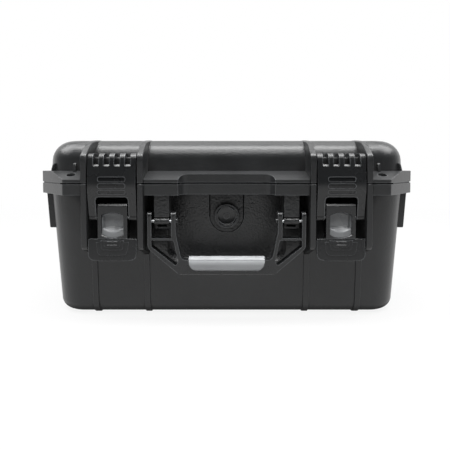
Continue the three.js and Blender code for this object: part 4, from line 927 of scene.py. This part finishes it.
def lever_shape():
    """The lever: tongue with its window, cheeks, and the stepped, flared skirt that a finger pulls."""
    back, inner, shoulder = -1.0, TONGUE_HALF - 2.2, -24.2
    plate = side(
        [
            (1, TONGUE_TOP - 2.4, 0.4), (-0.4, TONGUE_TOP, 0.5), (-3, TONGUE_TOP), (-3, shoulder),
            (back, shoulder), (back, SKIRT_TOP, 0), (1, SKIRT_TOP, 0),
        ]
    )
    half_outline = [(SKIRT_HALF, SKIRT_TOP, 1.2), (SKIRT_HALF, SKIRT_CORNER, 7), (inner, SKIRT_BOTTOM, 7)]
    outline = face(mirrored(half_outline, -1) + half_outline[::-1], steps=10)
    cheek = side(
        [
            (-0.5, -22.0, 0), (-2.4, TONGUE_TOP - 0.3, 0), (-11.3, -23.8, 4.2), (-15.5, -32.2, 4.2),
            (-8, SKIRT_TOP, 1), (-8, -72.2, 0.5), (-0.5, -72.2, 0),
        ]
    )
    steps = [
        softened(skirt_panel(forwards, tray(half, flare, SKIRT_TOP - drop, bottom, turn)), edge)
        for forwards, half, flare, drop, bottom, turn, edge in SKIRT_STEPS
    ]
    bars = [
        rod(0.75, -4.9, 4.9, 1 + 1.35 + SKIRT_LEAN * (SKIRT_TOP - rise) - 0.35, rise, 0.4, 16)
        for rise in (-57.2, -60.6)
    ]
    whole = union(
        prism(plate, -TONGUE_HALF, TONGUE_HALF, "X", 0.7),
        softened(skirt_panel(0, outline), 0.7),
        *steps,
        *bars,
        prism(cheek, -TONGUE_HALF, -inner, "X", 0.5),
        prism(cheek, inner, TONGUE_HALF, "X", 0.5),
        rod(4.2, -TONGUE_HALF, TONGUE_HALF, *LEVER_PIVOT, 0.5),
        block([-inner - 1, inner + 1], [FRONT - back - 1, FRONT + 8], [PARTING - 72.2, PARTING - 70]),
    )
    narrowing = ((0.45, -2.2), (0.45, -0.95), (0, -0.3), (0, 2))
    return minus(
        whole,
        loft([(window_outline(margin), FRONT + depth) for margin, depth in narrowing], "Y"),
        block([-inner, inner], [FRONT - back, FRONT + 6.1], [PARTING - 70, PARTING + shoulder]),
        rod(LEVER_BORE, -16, 16, *LEVER_PIVOT, 0),
        rod(CLAW_BORE, -16, 16, *CLAW_PIVOT, 0),
    )


def arched(half, foot, foot_drop, top, top_rise, steps=24):
    """An outline with straight sides, and a curve at its foot and top."""
    share = np.linspace(0, 1, steps + 1)
    bow = 4 * share * (1 - share)
    low = np.stack([-half + 2 * half * share, PARTING + foot - foot_drop * bow], axis=1)
    high = np.stack([half - 2 * half * share, PARTING + top + top_rise * bow], axis=1)
    return np.concatenate([low, high])


def window_outline(margin):
    """The trigger's window, arched at its top and foot."""
    return arched(10.7 + margin, WINDOW_BOTTOM + 3 - margin, 3, WINDOW_TOP - 3 + margin, 3)


def trigger_shape():
    """The grey sliding trigger: a scoop with a bright curved ledge, and a catch hook behind."""
    front, half, tip = TRIGGER_FRONT, TRIGGER_HALF, HOOK_REACH
    body = side([(front, -24.5), (-5.8, -24.5), (-5.8, -60), (front, -60)])
    arm = side(
        [
            (-4.8, -56.4, 0), (-17.6, -56.4), (-17.6, -53.2),
            (tip, -53.7), (tip, -59.4), (-4.8, -59.4, 0),
        ]
    )
    solid = union(prism(body, -half, half, "X", 0.4), prism(arm, -6, 6, "X", 0.3))
    hollow = (
        ((10.6, -45.0, 6.4, -31.0, 2.4), 0.9),
        ((10.0, -44.4, 3.4, -31.2, 2.2), 1.7),
        ((9.1, -42.6, 0.0, -31.8, 2.0), 5.3),
    )
    scoop = loft([(arched(*shape), FRONT + depth) for shape, depth in hollow], "Y")
    slots = []
    for sign in SIDES:
        xs = sorted([sign * (half - 0.55), sign * (half + 1)])
        slots.append(block(xs, [FRONT + 1.6, FRONT + 6.9], [PARTING - 38.6, PARTING - 27.8]))
    return minus(softened(minus(solid, *slots), 0.3), scoop)


# Handle and valve shapes


def handle_half(sign):
    """One half of the frame: a pair of ears, and the triangular window below them."""
    near, near_end, far, far_end = EARS
    corners = [
        (0, HANDLE_BOTTOM, 0), (47, HANDLE_BOTTOM, 4), (far_end, -64.1, 4), (far_end, EAR_TOP, 0.8),
        (far, EAR_TOP, 0.8), (far, EAR_FOOT, 0.6), (near_end, EAR_FOOT, 0.6), (near_end, EAR_TOP, 0.8),
        (near, EAR_TOP, 0.8), (near, -48.6, 4), (45.2, BAR_RISE, 4.5), (0, BAR_RISE, 0),
    ]
    sill = EAR_FOOT - 2
    hole = [(far, sill, 0.9), (53, sill, 2), (48.3, -77.7, 2), (51, -81.7, 2), (far, -62.6, 0.9)]
    ys = about(FRONT - HANDLE_PIN[0], HANDLE_THICK / 2)
    body = prism(face(mirrored(corners, sign), steps=8), *ys, "Y", 0)
    window = prism(face(mirrored(hole, sign), steps=8), ys[0] - 1, ys[1] + 1, "Y", 0)
    return minus(body, window)


def grip_core(margin):
    """The rail of the frame inside the grip, with a margin round it."""
    half, top = 2.5 + margin, BAR_RISE + margin
    back, front = about(HANDLE_PIN[0], half)
    corners = [(back, top, half), (front, top, half), (front, -94), (back, -94)]
    return prism(side(corners), -GRIP_HALF - 1, GRIP_HALF + 1, "X", 0)


def grip_block(inset, rim):
    """The grip's outside: a crowned bar with cut and rounded lower corners."""
    reach, half = HANDLE_PIN[0], GRIP_THICK / 2
    low = GRIP_BOTTOM + inset
    section = side(
        [
            (reach, GRIP_TOP, 4), (reach + half - 2.4, GRIP_TOP - 1.6, 2.5),
            (reach + half, GRIP_TOP - 6.0, 3.5), (reach + half, low, 2), (reach - half, low, 2),
            (reach - half, GRIP_TOP - 6.0, 3.5), (reach - half + 2.4, GRIP_TOP - 1.6, 2.5),
        ],
        steps=8,
    )
    wide, turn = GRIP_HALF - inset, 10.0
    ends = arc(turn, np.linspace(-math.pi / 2, 0, 17), (wide - turn, low + turn)) + [(wide, GRIP_TOP + 1)]
    front = face(ends + mirrored(ends[::-1], -1), 0.0)
    made = common(prism(section, -wide, wide, "X", 0), prism(front, *about(FRONT - reach, 14), "Y", 0))
    return softened(made, rim) if rim else made


def handle_shape():
    """The handle's frame, with a seat for the grip and its pin holes."""
    (back, front), foot = about(HANDLE_PIN[0], HANDLE_THICK / 2), HANDLE_BOTTOM
    section = side([(back, EAR_TOP, 4.6), (front, EAR_TOP, 4.6), (front, foot, 3), (back, foot, 3)], steps=8)
    frame_body = common(union(handle_half(-1), handle_half(1)), prism(section, -80, 80, "X", 0))
    seat = minus(grip_block(0, 0), grip_core(0))
    shaped = softened(minus(frame_body, seat), 0.7)
    bosses = [rod(2.9, *sorted([sign * 49.4, sign * 52]), *HANDLE_PIN, 0.6) for sign in SIDES]
    bores = [rod(HANDLE_BORE, *sorted([sign * 51, sign * 80]), *HANDLE_PIN, 0) for sign in SIDES]
    return minus(union(shaped, *bosses), *bores)


def grip_shape():
    return minus(grip_block(0.3, 0.6), grip_core(0.3))


def valve_body_shape():
    """The valve's body: a flange before the boss and a stem through it."""
    front, back = VALVE_FRONT, NUT_FACE + NUT_THICK
    disc = stud(VALVE_RADIUS, front, BOSS_FACE - VALVE_GAP, 0, VALVE_Z, 0.8, 96)
    return minus(
        union(disc, stud(8, front, back, 0, VALVE_Z, 0.3)),
        stud(5, front - 1, back + 1, 0, VALVE_Z, 0),
        stud(11.5, front - 1, front + 3.5, 0, VALVE_Z, 0, 96),
    )


def valve_cap_shape():
    """The vented cap: a shallow bowl with a central button and four curved vents."""
    front = VALVE_FRONT + 0.5
    back = front + 2.7
    turns = np.linspace(0.02, math.pi / 2, 13)
    wide, deep, middle = 9.2, 1.6, (0, VALVE_Z)
    levels = [(circle(wide * math.sin(turn), middle, 64), front + deep * math.cos(turn)) for turn in turns]
    bowl = loft([(circle(wide, middle, 64), front - 1), *levels[::-1]], "Y")
    vents = []
    for index in range(4):
        angles = np.linspace(*about(math.radians(57) + index * math.pi / 2, 0.35), 13)
        outline = arc(10.7, angles, (0.0, VALVE_Z)) + arc(9.6, angles[::-1], (0.0, VALVE_Z))
        vents.append(prism(np.array(outline), front - 1, back + 1, "Y", 0))
    disc = stud(11.2, front, back, 0, VALVE_Z, 0.4, 96)
    button = stud(3.6, front + 0.9, back, 0, VALVE_Z, 0.4)
    dimple = stud(2.6, front - 1, front + 1.3, 0, VALVE_Z, 0)
    return union(minus(disc, bowl, *vents), minus(button, dimple))


def valve_nut_shape():
    """The hexagonal nut behind the wall, with chamfered corners."""
    ys = [NUT_FACE + VALVE_GAP, NUT_FACE + NUT_THICK]
    body = common(stud(12, *ys, 0, VALVE_Z, 0, 6), stud(11.7, *ys, 0, VALVE_Z, 0.9, 96))
    return minus(body, stud(VALVE_BORE, NUT_FACE - 1, NUT_FACE + 5, 0, VALVE_Z, 0, 96))


# Foam shapes


def slab_slot(row):
    """The slot for one row of slabs, with slightly eased corners."""
    low, high = about((row - 1) * ROW_PITCH, ROW_WIDTH / 2)
    near, far = about(SHIFT, ROW_LENGTH / 2)
    outline = rounded([(low, near, 3), (high, near, 3), (high, far, 3), (low, far, 3)])
    return prism(outline, 5, PARTING + 5, "Z", 0)


def foam_block(low, high):
    """The inside of the base between two levels, less the clearance that the foam has."""
    slab = block([-HALF_WIDTH, HALF_WIDTH], [-HALF_DEPTH + SHIFT, HALF_DEPTH + SHIFT], [low, high])
    return common(base_form(WALL + FOAM_GAP, PARTING), slab)


def foam_insert_shape():
    """The insert: three slots for slabs, and room for the valve and the finger pocket."""
    low, high = RIB_PROUD + WALL + FOAM_GAP + INSERT_LIFT, PARTING - 4
    relief = 12 + FOAM_GAP
    ys = [-HALF_DEPTH, NUT_FACE + NUT_THICK + FOAM_GAP]
    room = block([-relief, relief], ys, [VALVE_Z - relief, high + 1])
    slots = [slab_slot(row) for row in range(3)]
    cuts = [pocket_form(WALL + FOAM_GAP), *slots, room, boss_form(BOSS_FACE, NUT_FACE + FOAM_GAP)]
    return softened(minus(foam_block(low, high), *cuts), 1.4, segments=3)


def foam_pad_shape():
    low = RIB_PROUD + WALL + FOAM_GAP
    return softened(foam_block(low, low + PAD_THICK), 1.2, segments=3)


# Forms made with geometry nodes


def node_group(name, **sizes):
    """A node tree that makes one geometry from named sizes and a material, with what it is given."""
    tree = bpy.data.node_groups.new(name, "GeometryNodeTree")
    for label, value in sizes.items():
        new_socket(tree, label.replace("_", " "), "Float").default_value = value
    new_socket(tree, "Finish", "Material")
    new_socket(tree, "Geometry", "Geometry", "OUTPUT")
    return tree, tree.nodes.new("NodeGroupInput").outputs


def new_socket(tree, label, kind, in_out="INPUT"):
    return tree.interface.new_socket(label, in_out=in_out, socket_type="NodeSocket" + kind)


def close_group(tree, geometry, given):
    """The tree, ended: its geometry made real, in the given material."""
    real = add(tree, "GeometryNodeRealizeInstances", i0=geometry)
    add(tree, "NodeGroupOutput", i0=add(tree, "GeometryNodeSetMaterial", i0=real, Material=given["Finish"]))
    return tree


def grown(tree, **values):
    """A plain mesh of what a node tree makes, with its named inputs given."""
    item = placed(tree.name, bpy.data.meshes.new(tree.name))
    modifier = item.modifiers.new("nodes", "NODES")
    modifier.node_group = tree
    for socket in tree.interface.items_tree:
        key = socket.name.replace(" ", "_")
        if socket.in_out == "INPUT" and key in values:
            modifier[socket.identifier] = values[key]
    made = evaluated(item)
    bpy.data.objects.remove(item)
    return made


def ring_tree():
    """A seal: an oval section that follows a rounded rectangle."""
    sizes = {"Width": 100.0, "Depth": 50.0, "Corner": 10.0, "Section_width": 4.0, "Section_height": 3.0}
    tree, given = node_group("seal_ring", **sizes)
    path = add(tree, "GeometryNodeCurvePrimitiveQuadrilateral", Width=given["Width"], Height=given["Depth"])
    stepped = {"mode": "POLY"}
    turned = add(tree, "GeometryNodeFilletCurve", stepped, Curve=path, Count=18, Radius=given["Corner"])
    section = add(tree, "GeometryNodeCurvePrimitiveCircle", Resolution=16, Radius=0.5)
    oval = add(tree, "ShaderNodeCombineXYZ", X=given["Section height"], Y=given["Section width"], Z=1.0)
    shaped = add(tree, "GeometryNodeTransform", Geometry=section, Scale=oval)
    return close_group(tree, add(tree, "GeometryNodeCurveToMesh", i0=turned, i1=shaped), given)


def spring_tree():
    """A compression spring: round wire that follows a helix."""
    tree, given = node_group("spring_wire", Radius=1.8, Wire=WIRE_RADIUS, Turns=4.0, Height=8.0)
    helix = add(
        tree,
        "GeometryNodeCurveSpiral",
        Resolution=24,
        Rotations=given["Turns"],
        Height=given["Height"],
        Start_Radius=given["Radius"],
        End_Radius=given["Radius"],
    )
    section = add(tree, "GeometryNodeCurvePrimitiveCircle", Resolution=10, Radius=given["Wire"])
    swept = add(tree, "GeometryNodeCurveToMesh", i0=helix, i1=section, Fill_Caps=True)
    return close_group(tree, swept, given)


def wave_tree():
    """Convoluted foam: a block whose lower face has rows of rounded peaks."""
    tree, given = node_group("convoluted_foam", Width=390.0, Depth=290.0, Pitch=32.0, Wave=9.0, Height=40.0)
    sheet = add(tree, "GeometryNodeMeshGrid", i0=given["Width"], i1=given["Depth"], i2=131, i3=97)
    place = add(tree, "ShaderNodeSeparateXYZ", i0=add(tree, "GeometryNodeInputPosition")).outputs
    turn = maths(tree, "DIVIDE", 2 * math.pi, given["Pitch"])
    waves = [maths(tree, "COSINE", maths(tree, "MULTIPLY", place[axis], turn)) for axis in ("X", "Y")]
    risen = ranged(tree, maths(tree, "MULTIPLY", *waves), -1.0, 1.0, 0.0, given["Wave"])
    offset = add(tree, "ShaderNodeCombineXYZ", Z=risen)
    waved = add(tree, "GeometryNodeSetPosition", Geometry=sheet, Offset=offset)
    lift = add(tree, "ShaderNodeCombineXYZ", Z=given["Height"])
    thick = add(tree, "GeometryNodeExtrudeMesh", Mesh=waved, Offset=lift, Individual=False)
    joined = add(tree, "GeometryNodeJoinGeometry", i0=thick)
    feed(tree, joined, i0=add(tree, "GeometryNodeFlipFaces", i0=waved))
    return close_group(tree, add(tree, "GeometryNodeMergeByDistance", i0=joined), given)


# Operators


class CardCaseLook(bpy.types.PropertyGroup):
    shell: bpy.props.StringProperty(
        name="Shell", description="Shell plastic as a hex colour", default="#202122"
    )
    latch: bpy.props.StringProperty(
        name="Latch", description="Latch and handle plastic as a hex colour", default="#1e1f20"
    )
    trigger: bpy.props.StringProperty(
        name="Trigger", description="Trigger plastic as a hex colour", default="#8a8c8e"
    )
    grip: bpy.props.StringProperty(name="Grip", description="Grip rubber as a hex colour", default="#9c9ea0")
    rim: bpy.props.FloatProperty(
        name="Bar rim", description="Width of the rim round each claw bar", default=0.0004, unit="LENGTH"
    )
    pitch: bpy.props.FloatProperty(
        name="Foam pitch", description="Distance between peaks of the lid foam", default=0.032, unit="LENGTH"
    )
    wave: bpy.props.FloatProperty(
        name="Foam wave", description="Depth of the lid foam's waves", default=0.009, unit="LENGTH"
    )
    turns: bpy.props.FloatProperty(name="Spring turns", description="Turns of each trigger spring", default=4.0)


class CARDCASE_OT_materials(bpy.types.Operator):
    """Make the materials of the case"""

    bl_idname = "cardcase.materials"
    bl_label = "Case materials"

    def execute(self, context):
        make_materials(context.scene.card_case)
        return {"FINISHED"}


class CARDCASE_OT_shells(bpy.types.Operator):
    """Build the lower and upper shells"""

    bl_idname = "cardcase.shells"
    bl_label = "Shells"

    def execute(self, context):
        piece("lower_shell", lower_shell(), "base", "shell_plastic", "base_shell")
        piece("upper_shell", upper_shell(), "lid", "shell_plastic", "lid_shell")
        return {"FINISHED"}


class CARDCASE_OT_latches(bpy.types.Operator):
    """Build both latches: levers, claws and triggers"""

    bl_idname = "cardcase.latches"
    bl_label = "Latches"

    def execute(self, context):
        shapes = (
            ("claw_", claw_shape(context.scene.card_case.rim / MM), "latch_plastic"),
            ("lever_", lever_shape(), "latch_plastic"),
            ("trigger_", trigger_shape(), "trigger_plastic"),
        )
        for place, sign in (("left", -1), ("right", 1)):
            for kind, shape, slot in shapes:
                name = kind + place
                piece(name, moved(shape, sign * LATCH_X), name, slot, "latch_" + name)
        return {"FINISHED"}


class CARDCASE_OT_handle(bpy.types.Operator):
    """Build the carrying handle and its soft grip"""

    bl_idname = "cardcase.handle"
    bl_label = "Handle"

    def execute(self, context):
        piece("carrying_handle", handle_shape(), "handle", "latch_plastic", "handle_frame")
        piece("soft_grip", grip_shape(), "handle", "grip_rubber", "handle_grip")
        return {"FINISHED"}


class CARDCASE_OT_valve(bpy.types.Operator):
    """Build the pressure valve with its nut and seal"""

    bl_idname = "cardcase.valve"
    bl_label = "Pressure valve"

    def execute(self, context):
        piece("valve_housing", valve_body_shape(), "base", "shell_plastic", "valve_body")
        piece("valve_dish", valve_cap_shape(), "base", "latch_plastic", "valve_cap")
        piece("valve_lock_nut", valve_nut_shape(), "base", "latch_plastic", "valve_nut")
        low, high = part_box("valve_seal")
        width, section = (high[0] - low[0]) / MM, (high[1] - low[1]) / MM
        middle = width - section
        ring = grown(
            ring_tree(),
            Width=middle,
            Depth=middle,
            Corner=middle / 2 - 0.01,
            Section_width=section,
            Section_height=section,
            Finish=MATERIALS["seal_rubber"],
        )
        ring.transform(Matrix.Rotation(math.pi / 2, 4, "X"))
        seal = moved(ring, y=(low[1] + high[1]) / 2 / MM, z=VALVE_Z)
        piece("valve_o_ring", seal, "base", "seal_rubber", "valve_seal")
        return {"FINISHED"}


class CARDCASE_OT_foam(bpy.types.Operator):
    """Build the slotted insert, the base pad and the convoluted lid foam"""

    bl_idname = "cardcase.foam"
    bl_label = "Foam"

    def execute(self, context):
        look = context.scene.card_case
        insert = piece("slotted_foam", foam_insert_shape(), "base", "foam", "foam_insert")
        pad = piece("base_foam_sheet", foam_pad_shape(), "base", "foam", "foam_base_pad")
        waves = grown(wave_tree(), Pitch=look.pitch / MM, Wave=look.wave / MM, Finish=MATERIALS["foam"])
        low = LID_SURFACE - WALL - FOAM_GAP - LID_FOAM_THICK
        peaks = common(lid_form(WALL + FOAM_GAP, PARTING + SEAM), moved(waves, y=SHIFT, z=low))
        lining = piece("convoluted_lid_foam", peaks, "lid", "foam", "lid_foam")
        return {"FINISHED"}


class CARDCASE_OT_hardware(bpy.types.Operator):
    """Build the lid seal, the pins and the trigger springs"""

    bl_idname = "cardcase.hardware"
    bl_label = "Seal, pins and springs"

    def execute(self, context):
        look = context.scene.card_case
        low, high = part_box("gasket")
        wide, deep, tall = ((high[axis] - low[axis]) / MM for axis in range(3))
        strip = grown(
            ring_tree(),
            Width=wide - GASKET_BAND,
            Depth=deep - GASKET_BAND,
            Corner=CORNER + 0.7,
            Section_width=GASKET_BAND,
            Section_height=tall,
            Finish=MATERIALS["seal_rubber"],
        )
        middle = [(low[axis] + high[axis]) / 2 / MM for axis in range(3)]
        piece("lid_seal", moved(strip, *middle), "lid", "seal_rubber", "gasket")
        springs = spring_tree()
        for place in ("left", "right"):
            self.pin("hinge_pin_" + place, "base")
            self.pin("lever_pin_" + place, "base")
            self.pin("handle_pin_" + place, "handle")
            for end in ("outer", "inner"):
                self.pin("claw_pin_%s_%s" % (place, end), "lever_" + place)
            node = "trigger_spring_" + place
            low, high = (np.array(corner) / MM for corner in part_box(node))
            height = high[2] - low[2] - 2 * WIRE_RADIUS
            finish = MATERIALS["pin_steel"]
            coil = grown(springs, Wire=WIRE_RADIUS, Turns=look.turns, Height=height, Finish=finish)
            centre = (low + high) / 2
            coil = moved(coil, centre[0], centre[1], low[2] + WIRE_RADIUS)
            item = piece("coil_" + place, coil, "lever_" + place, "pin_steel", node)
            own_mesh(item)
        return {"FINISHED"}

    def pin(self, node, body):
        """A pin with rounded ends where the CAD pin is."""
        low, high = (np.array(corner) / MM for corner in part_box(node))
        radius, centre = (high[2] - low[2]) / 2, (low + high) / 2
        made = prism(circle(radius, centre[1:], 40), low[0], high[0], "X", 0.35 * radius)
        piece(node + "_turned", made, body, "pin_steel", node)


class CARDCASE_OT_nodes(bpy.types.Operator):
    """Give the carried-over CAD nodes their materials"""

    bl_idname = "cardcase.nodes"
    bl_label = "Carried-over nodes"

    def execute(self, context):
        slots = {part["node"]: part["material_slot"] for part in frame["record"]["subparts"]}
        for name, node in frame["nodes"].items():
            node.data.materials.clear()
            node.data.materials.append(MATERIALS[slots[name]])
        return {"FINISHED"}


class CARDCASE_OT_stage(bpy.types.Operator):
    """Set the floor, the lamps, the world and the camera"""

    bl_idname = "cardcase.stage"
    bl_label = "Studio"

    def execute(self, context):
        make_floor()
        make_lamps()
        make_world()
        make_camera()
        return {"FINISHED"}


class CARDCASE_PT_panel(bpy.types.Panel):
    """The settings of the case, and a button for each step of its making"""

    bl_label = "Card case"
    bl_space_type = "VIEW_3D"
    bl_region_type = "UI"
    bl_category = "Card case"

    def draw(self, context):
        for key in CardCaseLook.__annotations__:
            self.layout.prop(context.scene.card_case, key)
        for operator in OPERATORS:
            self.layout.operator(operator.bl_idname)


# Stage


def make_floor():
    """A pale sweep: a floor that curves up into a backdrop far behind."""
    reach, bend, turn, height = 12.0, 4.0, 1.5, 6.0
    profile = [(-reach, 0.0)]
    for angle in np.linspace(0, math.pi / 2, 12):
        profile.append((bend + turn * math.sin(angle), turn * (1 - math.cos(angle))))
    profile.append((bend + turn, height))
    places = [(x, y, z) for y, z in profile for x in (-reach, reach)]
    faces = [(2 * i, 2 * i + 1, 2 * i + 3, 2 * i + 2) for i in range(len(profile) - 1)]
    mesh = bpy.data.meshes.new("sweep")
    mesh.from_pydata(places, [], faces)
    mesh.shade_smooth()
    # Paper that the camera and the glosses see as white light, a little dimmer near the case
    material, tree, shader = new_material("paper_sweep_white")
    rays = add(tree, "ShaderNodeLightPath").outputs
    paper = blended(tree, rays["Is Diffuse Ray"], linear("#c8c8c8"), linear("#6c6c6c"))
    feed(tree, shader, Base_Color=paper, Roughness=0.9)
    glow = add(tree, "ShaderNodeEmission", Color=(1, 1, 1, 1), Strength=1.0)
    away = add(tree, "ShaderNodeVectorMath", {"operation": "LENGTH"}, i0=object_place(tree)).outputs["Value"]
    seen = maths(tree, "MULTIPLY", rays["Is Camera Ray"], ranged(tree, away, 0.5, 1.3, 0.88, 1.0))
    share = maths(tree, "MAXIMUM", rays["Is Glossy Ray"], seen)
    mix = add(tree, "ShaderNodeMixShader", i0=share, i1=shader, i2=glow)
    feed(tree, next(node for node in tree.nodes if node.type == "OUTPUT_MATERIAL"), i0=mix)
    mesh.materials.append(material)
    floor = placed("sweep", mesh)


def make_lamps():
    """Soft area lamps that all face the middle of the case: place, width, depth and power."""
    for name, place, wide, deep, power in (
        ("lamp_front", (0.0, -1.05, 1.45), 1.2, 0.35, 9.0),
        ("lamp_overhead", (0.0, -0.38, 1.6), 1.4, 0.6, 34.0),
        ("lamp_behind", (0.0, 0.55, 1.7), 1.6, 0.8, 8.0),
        ("lamp_left", (-1.15, -0.1, 1.35), 1.0, 1.0, 20.0),
        ("lamp_right", (1.15, -0.1, 1.35), 1.0, 1.0, 20.0),
    ):
        lamp = bpy.data.lights.new(name, "AREA")
        lamp.shape, lamp.size, lamp.size_y, lamp.energy = "RECTANGLE", wide, deep, power
        item = placed(name, lamp)
        item.location = place
        item.rotation_euler = (Vector((0, 0, 0.09)) - Vector(place)).to_track_quat("-Z", "Y").to_euler()


def make_world():
    """White to the camera, a gradient that brightens behind the case to glosses, and a faint fill."""
    world = bpy.data.worlds.new("studio")
    bpy.context.scene.world = world
    world.use_nodes = True
    tree = world.node_tree
    tree.nodes.clear()
    rays = add(tree, "ShaderNodeLightPath").outputs
    seen = maths(tree, "MAXIMUM", rays["Is Camera Ray"], rays["Is Transmission Ray"])
    direction = add(tree, "ShaderNodeSeparateXYZ", i0=add(tree, "ShaderNodeTexCoord").outputs["Generated"])
    behind = ranged(tree, direction.outputs["Y"], -0.25, 0.3, 0.0, 0.55)
    behind.interpolation_type = "SMOOTHSTEP"
    gloss, fill, white = (
        add(tree, "ShaderNodeBackground", i0=(1, 1, 1, 1), i1=strength) for strength in (behind, 0.04, 1.0)
    )
    unseen = add(tree, "ShaderNodeMixShader", i0=rays["Is Glossy Ray"], i1=fill, i2=gloss)
    mix = add(tree, "ShaderNodeMixShader", i0=seen, i1=unseen, i2=white)
    add(tree, "ShaderNodeOutputWorld", i0=mix)


def make_camera():
    """The photograph's view: close, and tilted down a little."""
    lens = bpy.data.cameras.new("photo_camera")
    lens.sensor_width, lens.lens = 36.0, 32.4
    lens.shift_x, lens.shift_y = -0.0038, -0.092
    lens.clip_start, lens.clip_end = 0.01, 50.0
    camera = placed("photo_camera", lens)
    camera.location = (0.0, -0.565, 0.161)
    camera.rotation_euler = (math.radians(90 - 2.5), 0, 0)
    bpy.context.scene.camera = camera


OPERATORS = (
    CARDCASE_OT_materials,
    CARDCASE_OT_nodes,
    CARDCASE_OT_shells,
    CARDCASE_OT_latches,
    CARDCASE_OT_handle,
    CARDCASE_OT_valve,
    CARDCASE_OT_foam,
    CARDCASE_OT_hardware,
    CARDCASE_OT_stage,
)


def register():
    bpy.utils.register_class(CardCaseLook)
    for operator in OPERATORS:
        bpy.utils.register_class(operator)
    bpy.utils.register_class(CARDCASE_PT_panel)
    bpy.types.Scene.card_case = bpy.props.PointerProperty(type=CardCaseLook)


def unregister():
    del bpy.types.Scene.card_case
    bpy.utils.unregister_class(CARDCASE_PT_panel)
    for operator in reversed(OPERATORS):
        bpy.utils.unregister_class(operator)
    bpy.utils.unregister_class(CardCaseLook)


def main():
    register()
    bpy.context.scene.view_settings.view_transform = "Standard"
    for operator in OPERATORS:
        group, name = operator.bl_idname.split(".")
        getattr(getattr(bpy.ops, group), name)()


if __name__ == "__main__":
    main()
